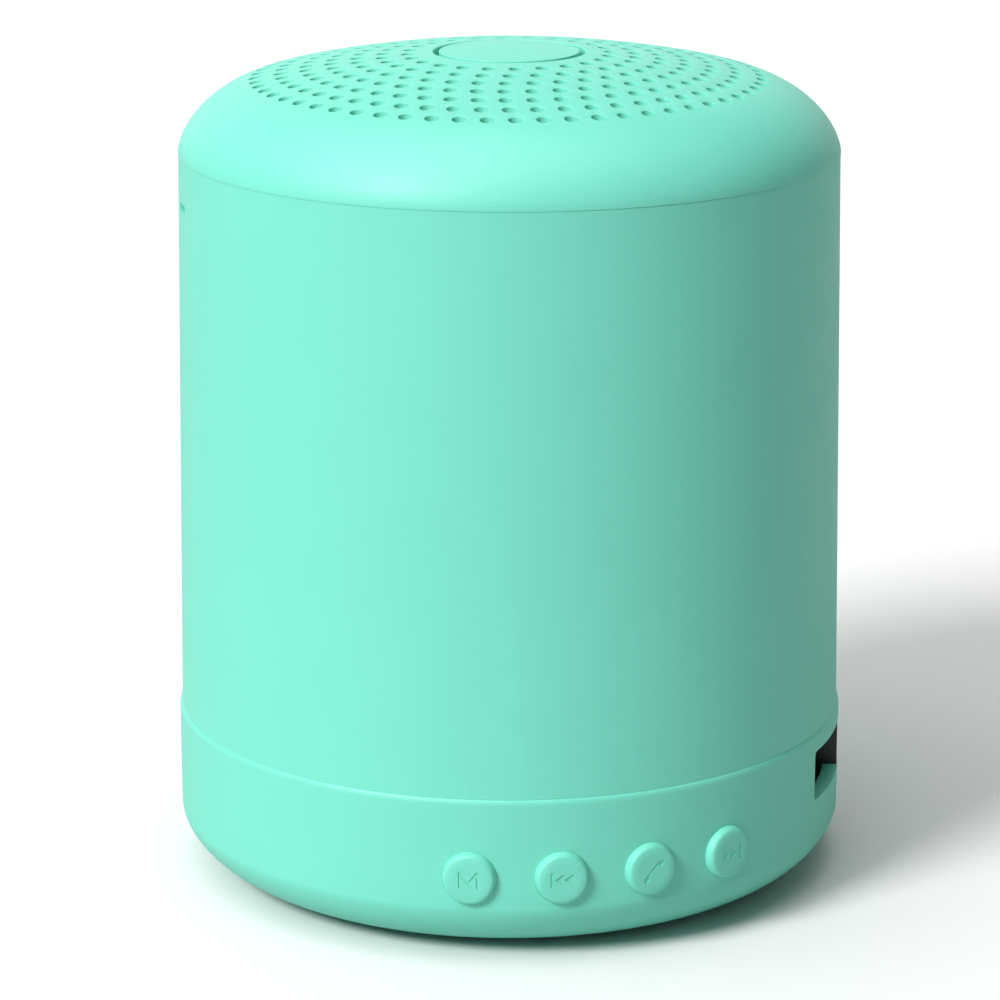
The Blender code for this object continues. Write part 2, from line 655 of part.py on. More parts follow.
def make_buttons(cap_finish, switch_finish, stem_finish):
    flare = BUTTON_RADIUS + BUTTON_FLARE
    sag = COLLAR_RADIUS**2 / (2 * BASE_INNER_RADIUS)
    collar_top = -WALL - SEAT_GAP - sag
    collar_low = collar_top - BUTTON_COLLAR_THICKNESS
    nub_low = collar_low - BUTTON_NUB_LENGTH
    edge = 0.2 * MM
    outline = [
        (0.0, BUTTON_PROUD),
        (BUTTON_RADIUS - edge, BUTTON_PROUD),
        (BUTTON_RADIUS, BUTTON_PROUD - edge),
        (flare, 0.0),
        (flare, collar_top),
        (COLLAR_RADIUS, collar_top),
        (COLLAR_RADIUS, collar_low),
        (BUTTON_NUB_RADIUS, collar_low),
        (BUTTON_NUB_RADIUS, nub_low),
        (0.0, nub_low),
    ]
    stem_tip = BASE_RADIUS + nub_low - SMALL_GAP
    face = stem_tip - STEM_REACH
    stem_z = BOARD_Z - SMALL_GAP - SWITCH_HEIGHT / 2
    for name, bearing in zip(BUTTON_NAMES, button_bearings()):
        placing = outward(bearing, BASE_RADIUS, BUTTON_Z)
        turned("button_" + name, outline, cap_finish, 16, placing)
        at_face = outward(bearing, face, stem_z)
        turned("switch_stem_" + name, rod(STEM_RADIUS, -STEM_SUNK, STEM_REACH), stem_finish, 8, at_face)
        size = (SWITCH_WIDTH, SWITCH_DEPTH, SWITCH_HEIGHT)
        centre = place_at(bearing, face - SWITCH_DEPTH / 2, stem_z)
        switch = block("switch_" + name, size, centre, switch_finish, bearing)
        bore = bmesh.new()
        depth = STEM_SUNK + BUTTON_TRAVEL + SEAT_GAP
        add_rod(bore, STEM_RADIUS + SMALL_GAP, -depth, 1.0 * MM, at_face, 8)
        combine(switch, helper("stem_cutter_" + name, bore), "DIFFERENCE")


# ---------------------------------------------------------------- board and socket


def make_main_board(finish):
    flat = insert_front() - INSERT_THICKNESS - SEAT_GAP
    outline = [(min(flat, BOARD_RADIUS * math.cos(a)), BOARD_RADIUS * math.sin(a)) for a in turns(40)]
    outline = [p for p, q in zip(outline, outline[1:] + outline[:1]) if p[0] < flat or q[0] < flat or p[1] < 0]
    board = prism("main_board", outline, BOARD_Z, BOARD_TOP_Z, finish)
    holes = bmesh.new()
    low, high = BOARD_Z - 1.0 * MM, BOARD_TOP_Z + 1.0 * MM
    for bearing in BASE_SCREW_BEARINGS:
        spot = Matrix.Translation(place_at(bearing, BASE_SCREW_CIRCLE))
        add_rod(holes, POST_RADIUS + SEAT_GAP, low, high, spot)
    for bearing in BOARD_SCREW_BEARINGS:
        spot = Matrix.Translation(place_at(bearing, BOARD_SCREW_CIRCLE))
        add_rod(holes, BOARD_SCREW_RADIUS + SEAT_GAP, low, high, spot, 8)
    combine(board, helper("board_hole_cutter", holes), "DIFFERENCE")


def turns(sides):
    return [2 * math.pi * side / sides for side in range(sides)]


def insert_front():
    """X of the face of the port insert, just inside the wall at the insert's two ends."""
    half_width = WINDOW_WIDTH / 2 + INSERT_BORDER
    return math.sqrt(BASE_INNER_RADIUS**2 - half_width**2) - SEAT_GAP


def facing_out(x, y, z):
    """A placing at a point, whose local +Z looks along +X and local +Y looks up."""
    turn = Matrix.Rotation(math.radians(90.0), 4, "Z") @ Matrix.Rotation(math.radians(90.0), 4, "X")
    return Matrix.Translation((x, y, z)) @ turn


def make_usb_socket(finish):
    middle = SOCKET_Z + SOCKET_HEIGHT / 2
    centre = (SOCKET_FACE_X - SOCKET_DEPTH / 2, SOCKET_SIDE, middle)
    socket = block("usb_socket", (SOCKET_DEPTH, SOCKET_WIDTH, SOCKET_HEIGHT), centre, finish)
    mouth = bmesh.new()
    spot = facing_out(SOCKET_FACE_X, SOCKET_SIDE, middle)
    half_w = SOCKET_WIDTH / 2 - SOCKET_SKIN
    half_h = SOCKET_HEIGHT / 2 - SOCKET_SKIN
    slope = 0.7 * MM
    outline = [
        (-half_w + slope, -half_h),
        (half_w - slope, -half_h),
        (half_w, -half_h + slope),
        (half_w, half_h),
        (-half_w, half_h),
        (-half_w, -half_h + slope),
    ]
    add_prism(mouth, outline, -SOCKET_DEPTH + 1.0 * MM, 1.0 * MM, spot)
    combine(socket, helper("socket_mouth_cutter", mouth), "DIFFERENCE")
    tongue = bmesh.new()
    outline = rectangle(SOCKET_WIDTH - 3.0 * MM, SOCKET_TONGUE, 0.0, SOCKET_TONGUE / 2)
    add_prism(tongue, outline, -SOCKET_DEPTH + 0.5 * MM, -0.6 * MM, spot)
    combine(socket, helper("socket_tongue", tongue), "UNION")


def make_card_slot(finish):
    middle = SOCKET_Z + CARD_HEIGHT / 2
    centre = (SOCKET_FACE_X - CARD_DEPTH / 2, CARD_SIDE, middle)
    holder = block("card_slot", (CARD_DEPTH, CARD_WIDTH, CARD_HEIGHT), centre, finish)
    mouth = bmesh.new()
    spot = facing_out(SOCKET_FACE_X, CARD_SIDE, middle)
    outline = rectangle(CARD_WIDTH - 2 * SOCKET_SKIN, CARD_SLOT)
    add_prism(mouth, outline, -CARD_DEPTH + 0.5 * MM, 1.0 * MM, spot)
    combine(holder, helper("card_mouth_cutter", mouth), "DIFFERENCE")


def make_port_insert(finish):
    width = WINDOW_WIDTH + 2 * INSERT_BORDER
    front = insert_front()
    low, high = WINDOW_Z - INSERT_BORDER, WINDOW_TOP_Z
    size = (INSERT_THICKNESS, width, high - low)
    centre = (front - INSERT_THICKNESS / 2, 0.0, (low + high) / 2)
    insert = block("port_insert", size, centre, finish)
    holes = bmesh.new()
    behind = -INSERT_THICKNESS - 1.0 * MM
    spot = facing_out(front, SOCKET_SIDE, SOCKET_Z + SOCKET_HEIGHT / 2)
    outline = rectangle(SOCKET_WIDTH + 2 * SMALL_GAP, SOCKET_HEIGHT + 2 * SMALL_GAP)
    add_prism(holes, outline, behind, 1.0 * MM, spot)
    spot = facing_out(front, CARD_SIDE, SOCKET_Z + CARD_HEIGHT / 2)
    outline = rectangle(CARD_WIDTH + 2 * SMALL_GAP, CARD_HEIGHT + 2 * SMALL_GAP)
    add_prism(holes, outline, behind, 1.0 * MM, spot)
    spot = facing_out(front, LAMP_SIDE, SOCKET_Z + CARD_HEIGHT / 2)
    add_rod(holes, LAMP_HOLE_RADIUS, behind, 1.0 * MM, spot, 8)
    combine(insert, helper("insert_cutter", holes), "DIFFERENCE")
    shelf = bmesh.new()
    reach = BASE_INNER_RADIUS - SEAT_GAP
    half_angle = math.atan2(width / 2, front)
    arc = [half_angle * (i / 6 - 1) for i in range(13)]
    outline = [(reach * math.cos(a), reach * math.sin(a)) for a in arc]
    outline += [(front - INSERT_THICKNESS / 2, width / 2), (front - INSERT_THICKNESS / 2, -width / 2)]
    add_prism(shelf, outline, low, low + INSERT_THICKNESS)
    combine(insert, helper("insert_shelf", shelf), "UNION")

    # A rib parts the charging socket from the card slot and comes out almost to the shell's face
    rib = bmesh.new()
    reach = BASE_RADIUS - RIB_RECESS
    socket_side = SOCKET_SIDE + SOCKET_WIDTH / 2
    card_side = CARD_SIDE - CARD_WIDTH / 2
    middle = (socket_side + card_side) / 2
    left, right = middle - RIB_THICKNESS / 2, middle + RIB_THICKNESS / 2
    outline = [(front - INSERT_THICKNESS / 2, left), (math.sqrt(reach**2 - left**2), left)]
    outline += [(math.sqrt(reach**2 - right**2), right), (front - INSERT_THICKNESS / 2, right)]
    add_prism(rib, outline, WINDOW_Z + SMALL_GAP, WINDOW_TOP_Z - SMALL_GAP)
    combine(insert, helper("insert_rib", rib), "UNION")


def on_board(name, size, x, y, finish, bearing=0.0):
    centre = (x, y, BOARD_TOP_Z + SMALL_GAP + size[2] / 2)
    return block(name, size, centre, finish, bearing)


def make_board_parts(finishes):
    chip, can, white, lamp = (finishes[key] for key in ("chip", "can", "white", "lamp"))
    on_board("bluetooth_module", (11.0 * MM, 9.0 * MM, 1.6 * MM), -7.0 * MM, -3.0 * MM, can)
    on_board("amplifier_chip", (5.0 * MM, 4.0 * MM, 1.4 * MM), 4.0 * MM, 5.0 * MM, chip)
    on_board("crystal", (3.2 * MM, 2.5 * MM, 0.9 * MM), 1.5 * MM, -4.0 * MM, can)
    on_board("status_led", (1.6 * MM, 1.2 * MM, 0.8 * MM), 19.2 * MM, LAMP_SIDE, lamp)
    on_board("battery_connector", (5.5 * MM, 4.0 * MM, 3.4 * MM), -1.6 * MM, 13.0 * MM, white)
    on_board("speaker_connector", (5.5 * MM, 4.0 * MM, 3.4 * MM), -9.5 * MM, 13.6 * MM, white)
    foot = BOARD_TOP_Z + SMALL_GAP
    at_cap = Matrix.Translation((-9.0 * MM, 7.5 * MM, foot))
    turned("bulk_capacitor", rod(2.5 * MM, 0.0, 5.5 * MM), can, SMALL_SIDES, at_cap)
    at_mic = Matrix.Translation((-1.5 * MM, -19.5 * MM, foot))
    turned("microphone", rod(2.0 * MM, 0.0, 1.5 * MM), can, SMALL_SIDES, at_mic)


# ---------------------------------------------------------------- chamber floor and battery


def grommet_spot():
    return place_at(GROMMET_BEARING, GROMMET_CIRCLE)


def make_chamber_floor(finish):
    radius = sleeve_radius(FLOOR_Z) - WALL - SEAT_GAP
    outline = [(radius * math.cos(a), radius * math.sin(a)) for a in turns(48)]
    floor = prism("chamber_floor", outline, FLOOR_Z, FLOOR_TOP_Z, finish)
    bosses = bmesh.new()
    for bearing in BASE_SCREW_BEARINGS:
        spot = Matrix.Translation(place_at(bearing, BASE_SCREW_CIRCLE))
        add_rod(bosses, POST_RADIUS, BASE_TOP_Z, FLOOR_Z + CHAMBER_FLOOR / 2, spot)
    combine(floor, helper("floor_bosses", bosses), "UNION")
    bores = bmesh.new()
    for bearing in BASE_SCREW_BEARINGS:
        spot = Matrix.Translation(place_at(bearing, BASE_SCREW_CIRCLE))
        top = BASE_TOP_Z + BASE_SCREW_BITE + SMALL_GAP
        add_rod(bores, BASE_SCREW_RADIUS + THREAD_GAP, BASE_TOP_Z - 1.0 * MM, top, spot, 8)
    spot = Matrix.Translation(grommet_spot())
    add_rod(bores, GROMMET_RADIUS + SMALL_GAP, FLOOR_Z - 1.0 * MM, FLOOR_TOP_Z + 1.0 * MM, spot)
    combine(floor, helper("floor_bore_cutter", bores), "DIFFERENCE")


def make_wire_grommet(finish):
    flange = GROMMET_RADIUS + SMALL_GAP + GROMMET_FLANGE
    top, low = FLOOR_TOP_Z + SMALL_GAP, FLOOR_Z - SMALL_GAP
    outline = [
        (GROMMET_BORE, low - GROMMET_FLANGE_THICKNESS),
        (flange, low - GROMMET_FLANGE_THICKNESS),
        (flange, low),
        (GROMMET_RADIUS, low),
        (GROMMET_RADIUS, top),
        (flange, top),
        (flange, top + GROMMET_FLANGE_THICKNESS),
        (GROMMET_BORE, top + GROMMET_FLANGE_THICKNESS),
    ]
    turned("wire_grommet", outline, finish, 16, Matrix.Translation(grommet_spot()))


def make_battery(cell_finish, guard_finish, pad_finish, clamp_finish):
    pad_z = FLOOR_TOP_Z + SMALL_GAP
    cell_z = pad_z + PAD_THICKNESS + SMALL_GAP
    middle = cell_z + CELL_THICKNESS / 2
    size = (CELL_LENGTH, CELL_WIDTH, CELL_THICKNESS)
    block("battery_cell", size, (0, 0, middle), cell_finish, 0.0, CELL_ROUND)
    size = (CELL_LENGTH - 2.0 * MM, CELL_WIDTH - 2.0 * MM, PAD_THICKNESS)
    block("battery_pad", size, (0, 0, pad_z + PAD_THICKNESS / 2), pad_finish)
    guard_x = -(CELL_LENGTH / 2 + SMALL_GAP + GUARD_THICKNESS / 2)
    size = (GUARD_THICKNESS, CELL_WIDTH - 4.0 * MM, CELL_THICKNESS - 2.0 * MM)
    block("battery_guard_board", size, (guard_x, 0, middle), guard_finish)
    inner = CELL_WIDTH / 2 + SEAT_GAP
    outer = inner + CLAMP_THICKNESS
    under = cell_z + CELL_THICKNESS + SEAT_GAP
    top = under + CLAMP_THICKNESS
    outline = [
        (-outer, pad_z),
        (-inner, pad_z),
        (-inner, under),
        (inner, under),
        (inner, pad_z),
        (outer, pad_z),
        (outer, top),
        (-outer, top),
    ]
    standing = Matrix.Rotation(math.radians(90.0), 4, "Z") @ Matrix.Rotation(math.radians(90.0), 4, "X")
    prism("battery_clamp", outline, -CLAMP_WIDTH / 2, CLAMP_WIDTH / 2, clamp_finish, standing)
    return middle, guard_x - GUARD_THICKNESS / 2


# ---------------------------------------------------------------- driver


def make_speaker_frame(finish):
    under = BASKET_WALL
    shelf = SPIDER_SHELF_RADIUS
    outline = [
        (FLANGE_RADIUS, FLANGE_TOP_Z),
        (FLANGE_RADIUS, FLANGE_Z),
        (FRAME_INNER_RADIUS + BASKET_NECK, FLANGE_Z),
        (shelf + under, SPIDER_SHELF_Z - under),
        (shelf + under, BASKET_Z),
        (PLATE_BORE + SMALL_GAP, BASKET_Z),
        (PLATE_BORE + SMALL_GAP, BASKET_Z + under),
        (shelf - SPIDER_SHELF_WIDTH, BASKET_Z + under),
        (shelf - SPIDER_SHELF_WIDTH, SPIDER_SHELF_Z),
        (shelf, SPIDER_SHELF_Z),
        (FRAME_INNER_RADIUS, FLANGE_TOP_Z),
    ]
    frame = turned("speaker_frame", outline, finish, DRIVER_SIDES)
    openings = bmesh.new()
    low = SPIDER_SHELF_Z + 1.2 * MM
    high = FLANGE_Z - 1.2 * MM
    middle = (low + high) / 2
    window_radius = (high - low) / 2
    for quarter in range(4):
        bearing = math.radians(45.0 + 90.0 * quarter)
        spot = outward(bearing, 0.0, middle)
        add_rod(openings, window_radius, SPIDER_SHELF_RADIUS - 2.0 * MM, FLANGE_RADIUS + 1.0 * MM, spot)
    for bearing in DRIVER_SCREW_BEARINGS:
        spot = Matrix.Translation(place_at(bearing, DRIVER_SCREW_CIRCLE))
        add_rod(openings, DRIVER_SCREW_RADIUS + SEAT_GAP, FLANGE_Z - 1 * MM, FLANGE_TOP_Z + 1 * MM, spot, 8)
    combine(frame, helper("frame_opening_cutter", openings), "DIFFERENCE")


def make_speaker_gasket(finish):
    low = GASKET_TOP_Z - GASKET_THICKNESS
    outline = ring(CAVITY_RADIUS, FLANGE_RADIUS, low, GASKET_TOP_Z)
    gasket = turned("speaker_gasket", outline, finish, DRIVER_SIDES)
    holes = bmesh.new()
    for bearing in DRIVER_SCREW_BEARINGS:
        spot = Matrix.Translation(place_at(bearing, DRIVER_SCREW_CIRCLE))
        add_rod(holes, DRIVER_SCREW_RADIUS + SEAT_GAP, low - 1 * MM, GASKET_TOP_Z + 1 * MM, spot, 8)
    combine(gasket, helper("gasket_hole_cutter", holes), "DIFFERENCE")


def make_surround(finish):
    outer = SURROUND_RADIUS
    inner = outer - SURROUND_WIDTH
    roll_outer = outer - SURROUND_LIP
    roll_inner = inner + SURROUND_LIP
    centre = (roll_outer + roll_inner) / 2
    radius = (roll_outer - roll_inner) / 2
    arc = [math.pi * i / 4 for i in range(5)]
    top_z = SURROUND_Z + SURROUND_SKIN
    upper = [(centre + radius * math.cos(a), top_z + radius * math.sin(a)) for a in arc]
    thin = radius - SURROUND_SKIN
    lower = [(centre + thin * math.cos(a), SURROUND_Z + thin * math.sin(a)) for a in reversed(arc)]
    outline = [(outer, SURROUND_Z), (outer, top_z), *upper, (inner, top_z), (inner, SURROUND_Z), *lower]
    turned("surround", outline, finish, DRIVER_SIDES)


def make_spider(finish):
    inner = COIL_RADIUS + SMALL_GAP
    outer = SPIDER_SHELF_RADIUS - SMALL_GAP
    steps = 3 * SPIDER_WAVES
    upper = []
    for i in range(steps + 1):
        radius = outer + (inner - outer) * i / steps
        wave = SPIDER_WAVE * math.cos(2 * math.pi * SPIDER_WAVES * i / steps)
        upper.append((radius, SPIDER_Z - wave + SPIDER_SKIN))
    lower = [(radius, z - SPIDER_SKIN) for radius, z in reversed(upper)]
    turned("spider", upper + lower, finish, DRIVER_SIDES)


def cone_z(radius):
    share = (radius - CONE_NECK_RADIUS) / (CONE_RADIUS - CONE_NECK_RADIUS)
    return CONE_NECK_Z + CONE_DEPTH * share


def make_moving_assembly(paper, copper, cap_finish):
    outline = [
        (CONE_NECK_RADIUS, CONE_NECK_Z),
        (CONE_RADIUS, CONE_TOP_Z),
        (CONE_RADIUS, CONE_TOP_Z + CONE_SKIN),
        (CONE_NECK_RADIUS, CONE_NECK_Z + CONE_SKIN),
    ]
    turned("cone", outline, paper, DRIVER_SIDES)
    turned("voice_coil", ring(COIL_INNER_RADIUS, COIL_RADIUS, COIL_Z, COIL_TOP_Z), copper, 24)
    edge_z = cone_z(DUST_CAP_RADIUS) + CONE_SKIN + SMALL_GAP
    steps = 4
    arc = [DUST_CAP_RADIUS * i / steps for i in range(steps + 1)]
    upper = [(r, edge_z + CONE_SKIN + DUST_CAP_RISE * (1 - (r / DUST_CAP_RADIUS) ** 2)) for r in arc]
    lower = [(r, z - CONE_SKIN) for r, z in reversed(upper)]
    turned("dust_cap", upper + lower, cap_finish, 24)


def make_magnet_system(steel, ferrite):
    turned("front_plate", ring(PLATE_BORE, PLATE_RADIUS, PLATE_Z, PLATE_TOP_Z), steel, DRIVER_SIDES)
    turned("magnet", ring(MAGNET_BORE, MAGNET_RADIUS, MAGNET_Z, MAGNET_TOP_Z), ferrite, DRIVER_SIDES)
    outline = [
        (0.0, YOKE_Z),
        (YOKE_RADIUS, YOKE_Z),
        (YOKE_RADIUS, YOKE_TOP_Z),
        (POLE_RADIUS, YOKE_TOP_Z),
        (POLE_RADIUS, PLATE_TOP_Z),
        (0.0, PLATE_TOP_Z),
    ]
    turned("yoke", outline, steel, 24)


def terminal_centre():
    """Radius and height of the middle of the terminal strip."""
    return FRAME_INNER_RADIUS + BASKET_WALL + SEAT_GAP - TERMINAL_DEPTH / 2, SPIDER_SHELF_Z


def make_terminal_strip(finish):
    radius, z = terminal_centre()
    size = (TERMINAL_WIDTH, TERMINAL_DEPTH, 0.9 * MM)
    bearing = math.radians(180.0)
    block("terminal_strip", size, place_at(bearing, radius, z), finish, bearing)


# ---------------------------------------------------------------- screws


def screw(name, radius, shank, head_radius, head, finish, placing):
    """A pan-head screw with a cross recess. Local +Z runs from the head to the tip, from under the head."""
    chamfer = 0.25 * head
    outline = [
        (0.0, shank),
        (radius, shank),
        (radius, 0.0),
        (head_radius, 0.0),
        (head_radius, -head + chamfer),
        (head_radius - chamfer, -head),
        (0.0, -head),
    ]
    made = turned(name, outline, finish, SMALL_SIDES, placing)
    arm, half = 0.65 * head_radius, 0.13 * head_radius
    cross = [(arm, -half), (arm, half), (half, half), (half, arm), (-half, arm), (-half, half)]
    cross += [(-x, -y) for x, y in cross]
    recess = bmesh.new()
    add_prism(recess, cross, -head - 1.0 * MM, -0.45 * head, placing)
    combine(made, helper(name + "_recess", recess), "DIFFERENCE")


def make_screws(finish):
    head_under = UNDERSIDE_Z + BASE_SCREW_SUNK + BASE_SCREW_HEAD
    shank = BASE_TOP_Z + BASE_SCREW_BITE - head_under
    for number, bearing in enumerate(BASE_SCREW_BEARINGS, 1):
        placing = Matrix.Translation(place_at(bearing, BASE_SCREW_CIRCLE, head_under))
        name = f"base_screw_{number}"
        screw(name, BASE_SCREW_RADIUS, shank, BASE_SCREW_HEAD_RADIUS, BASE_SCREW_HEAD, finish, placing)
    head_under = FLANGE_Z - SMALL_GAP
    shank = SEAT_Z + DRIVER_SCREW_BITE - head_under
    for number, bearing in enumerate(DRIVER_SCREW_BEARINGS, 1):
        placing = Matrix.Translation(place_at(bearing, DRIVER_SCREW_CIRCLE, head_under))
        name = f"driver_screw_{number}"
        sizes = (DRIVER_SCREW_RADIUS, shank, DRIVER_SCREW_HEAD_RADIUS, DRIVER_SCREW_HEAD)
        screw(name, *sizes, finish, placing)
    head_under = BOARD_TOP_Z + SMALL_GAP
    shank = SMALL_GAP + BOARD_THICKNESS + BOARD_SCREW_BITE
    for number, bearing in enumerate(BOARD_SCREW_BEARINGS, 1):
        flip = Matrix.Rotation(math.radians(180.0), 4, "X")
        placing = Matrix.Translation(place_at(bearing, BOARD_SCREW_CIRCLE, head_under)) @ flip
        name = f"board_screw_{number}"
        sizes = (BOARD_SCREW_RADIUS, shank, BOARD_SCREW_HEAD_RADIUS, BOARD_SCREW_HEAD)
        screw(name, *sizes, finish, placing)


# ---------------------------------------------------------------- wires


def smooth_route(points, steps):
    """A curve through the points, read off a few times between each pair."""
    padded = [points[0] * 2 - points[1], *points, points[-1] * 2 - points[-2]]
    route = [points[0]]
    for a, b, c, d in zip(padded, padded[1:], padded[2:], padded[3:]):
        for step in range(1, steps + 1):
            t = step / steps
            bend = (2 * a - 5 * b + 4 * c - d) * t * t + (3 * b - a - 3 * c + d) * t**3
            route.append(0.5 * (2 * b + (c - a) * t + bend))
    return route


def wire(name, points, finish):
    curve = bpy.data.curves.new(name, "CURVE")
    curve.dimensions = "3D"
    curve.bevel_depth = WIRE_RADIUS
    curve.bevel_resolution = 1
    curve.use_fill_caps = True
    route = smooth_route(points, 2)
    spline = curve.splines.new("POLY")
    spline.points.add(len(route) - 1)
    for slot, point in zip(spline.points, route):
        slot.co = (*point, 1.0)
    curve.materials.append(finish)
    obj = bpy.data.objects.new(name, curve)
    bpy.context.scene.collection.objects.link(obj)


def make_wires(red, black, cell_middle, guard_face):
    gate = grommet_spot()
    above = FLOOR_TOP_Z + 2.2 * MM
    below = FLOOR_Z - 2.0 * MM
    plug_z = BOARD_TOP_Z + SMALL_GAP + 3.4 * MM + SEAT_GAP
    radius, terminal_z = terminal_centre()
    leads = (
        ("speaker_lead_red", red, 1, (-1, -1)),
        ("speaker_lead_black", black, -1, (-1, 1)),
    )
    for name, finish, side, corner in leads:
        shift = Vector((corner[0] * WIRE_SPREAD, corner[1] * WIRE_SPREAD, 0))
        along = Vector((side * 2.0 * MM, radius, terminal_z - 0.45 * MM - SMALL_GAP))
        points = [
            along,
            along + Vector((0, 0, -3.0 * MM)),
            Vector((side * 1.6 * MM - 2.0 * MM, radius + 0.6 * MM, (terminal_z + above) / 2)),
            gate + shift + Vector((-0.6 * MM, 0, above + 4.5 * MM)),
            gate + shift + Vector((0, 0, above)),
            gate + shift + Vector((0, 0, below)),
            Vector((side * 1.2 * MM - 9.5 * MM, 13.6 * MM, plug_z + 1.6 * MM)),
            Vector((side * 1.2 * MM - 9.5 * MM, 13.6 * MM, plug_z)),
        ]
        wire(name, points, finish)
    leads = (
        ("battery_lead_red", red, 1, (1, 1)),
        ("battery_lead_black", black, -1, (1, -1)),
    )
    for name, finish, side, corner in leads:
        shift = Vector((corner[0] * WIRE_SPREAD, corner[1] * WIRE_SPREAD, 0))
        start = Vector((guard_face - SEAT_GAP, 4.0 * MM - side * 1.5 * MM, cell_middle + side * 0.7 * MM))
        points = [
            start,
            start + Vector((-1.4 * MM, 0, 0)),
            Vector((side * 0.7 * MM - 15.4 * MM, 12.4 * MM, cell_middle + side * 0.7 * MM)),
            gate + Vector((1.4 * MM + side * 0.6 * MM, side * 0.6 * MM - 1.8 * MM, above + (1.5 + side * 0.7) * MM)),
            gate + shift + Vector((0, 0, above - 1.0 * MM)),
            gate + shift + Vector((0, 0, below)),
            Vector((side * 1.2 * MM - 1.6 * MM, 13.0 * MM, plug_z + 1.6 * MM)),
            Vector((side * 1.2 * MM - 1.6 * MM, 13.0 * MM, plug_z)),
        ]
        wire(name, points, finish)


# ---------------------------------------------------------------- the speaker


def main():
    clear_scene()
    mint = material("mint_shell", MINT, 0.42)
    deep_mint = material("mint_cloth", DEEP_MINT, 0.9)
    button_mint = material("mint_button", MINT, 0.5)
    black_plastic = material("black_plastic", (0.012, 0.012, 0.013), 0.45)
    white_plastic = material("white_plastic", (0.75, 0.74, 0.70), 0.5)
    rubber = material("grey_rubber", (0.05, 0.055, 0.055), 0.8)
    foam = material("foam", (0.06, 0.06, 0.065), 0.95)
    board = material("green_board", (0.02, 0.14, 0.06), 0.4)
    steel = material("zinc_steel", (0.55, 0.55, 0.56), 0.35, 1.0)
    ferrite = material("ferrite", (0.035, 0.035, 0.038), 0.6)
    copper = material("copper_wire", (0.72, 0.32, 0.16), 0.35, 1.0)
    paper = material("black_paper", (0.022, 0.022, 0.024), 0.85)
    spider_cloth = material("spider_cloth", (0.55, 0.33, 0.12), 0.9)
    cell = material("battery_foil", (0.55, 0.57, 0.60), 0.3, 0.8)
    red = material("red_wire", (0.55, 0.02, 0.02), 0.5)
    black = material("black_wire", (0.015, 0.015, 0.016), 0.5)

    make_top_cap(mint)
    make_centre_disc(mint)
    make_dust_cloth(deep_mint)
    make_outer_sleeve(mint)
    make_base_housing(mint)
    make_foot_pad(rubber)
    make_buttons(button_mint, black_plastic, white_plastic)
    make_main_board(board)
    make_usb_socket(steel)
    make_card_slot(steel)
    make_port_insert(black_plastic)
    make_board_parts({"chip": black_plastic, "can": steel, "white": white_plastic, "lamp": white_plastic})
    make_chamber_floor(black_plastic)
    make_wire_grommet(rubber)
    cell_middle, guard_face = make_battery(cell, board, foam, black_plastic)
    make_speaker_frame(steel)
    make_speaker_gasket(foam)
    make_surround(rubber)
    make_spider(spider_cloth)
    make_moving_assembly(paper, copper, paper)
    make_magnet_system(steel, ferrite)
    make_terminal_strip(board)
    make_screws(steel)
    make_wires(red, black, cell_middle, guard_face)


main()
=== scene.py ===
"""Looks of a portable bluetooth speaker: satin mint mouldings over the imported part, on a pale studio floor.

Lengths are in metres. A bearing is an angle about Z, counted from -Y towards +X.
"""

import json
import math

import bmesh
import bpy
import numpy as np
from mathutils import Matrix, Vector


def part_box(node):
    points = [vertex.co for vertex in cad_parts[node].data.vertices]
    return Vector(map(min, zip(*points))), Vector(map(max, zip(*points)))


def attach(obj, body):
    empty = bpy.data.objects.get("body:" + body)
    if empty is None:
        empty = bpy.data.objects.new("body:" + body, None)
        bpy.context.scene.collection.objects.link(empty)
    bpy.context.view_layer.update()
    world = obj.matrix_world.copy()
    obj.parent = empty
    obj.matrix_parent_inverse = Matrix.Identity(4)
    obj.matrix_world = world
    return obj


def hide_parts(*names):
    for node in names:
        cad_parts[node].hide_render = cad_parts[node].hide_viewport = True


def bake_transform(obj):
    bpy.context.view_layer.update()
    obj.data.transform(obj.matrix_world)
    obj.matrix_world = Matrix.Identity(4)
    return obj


MM = 0.001

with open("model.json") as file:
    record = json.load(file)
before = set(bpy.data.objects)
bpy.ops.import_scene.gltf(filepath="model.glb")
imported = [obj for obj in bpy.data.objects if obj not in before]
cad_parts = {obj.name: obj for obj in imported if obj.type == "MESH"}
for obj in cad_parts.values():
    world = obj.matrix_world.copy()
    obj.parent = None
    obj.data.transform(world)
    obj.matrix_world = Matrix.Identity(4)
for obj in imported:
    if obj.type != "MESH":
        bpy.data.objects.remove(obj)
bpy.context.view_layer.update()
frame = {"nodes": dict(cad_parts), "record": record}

# ---------------------------------------------------------------- sizes

# Shell
TOP_RADIUS = 25.95 * MM
BASE_RADIUS = 26.78 * MM
WALL = 1.6 * MM
SEAM_STEP = 0.03 * MM
FOOT_STEP = 0.2 * MM
UNDERSIDE_Z = 0.4 * MM
BASE_TOP_Z = 13.3 * MM
CAP_Z = 57.95 * MM
SHOULDER_Z = 58.05 * MM
APEX_Z = 65.81 * MM

# Cap
DOME_RADIUS = 89.0 * MM
DOME_EDGE_RADIUS = 19.35 * MM
SHOULDER_REACH = 4.79 * MM
SHOULDER_LEAN = 0.08 * MM
SHOULDER_LIFT = 1.3 * MM
CAP_WALL = 1.8 * MM
CAVITY_RADIUS = 20.43 * MM
SEAT_Z = 58.6 * MM
SPIGOT_OUTER = 23.9 * MM
SPIGOT_INNER = 22.9 * MM
SPIGOT_FOOT_Z = 56.7 * MM
DISC_RADIUS = 5.5 * MM
DISC_GROOVE = 0.45 * MM
DISC_RECESS = 0.9 * MM
DISC_CROWN = 0.18 * MM

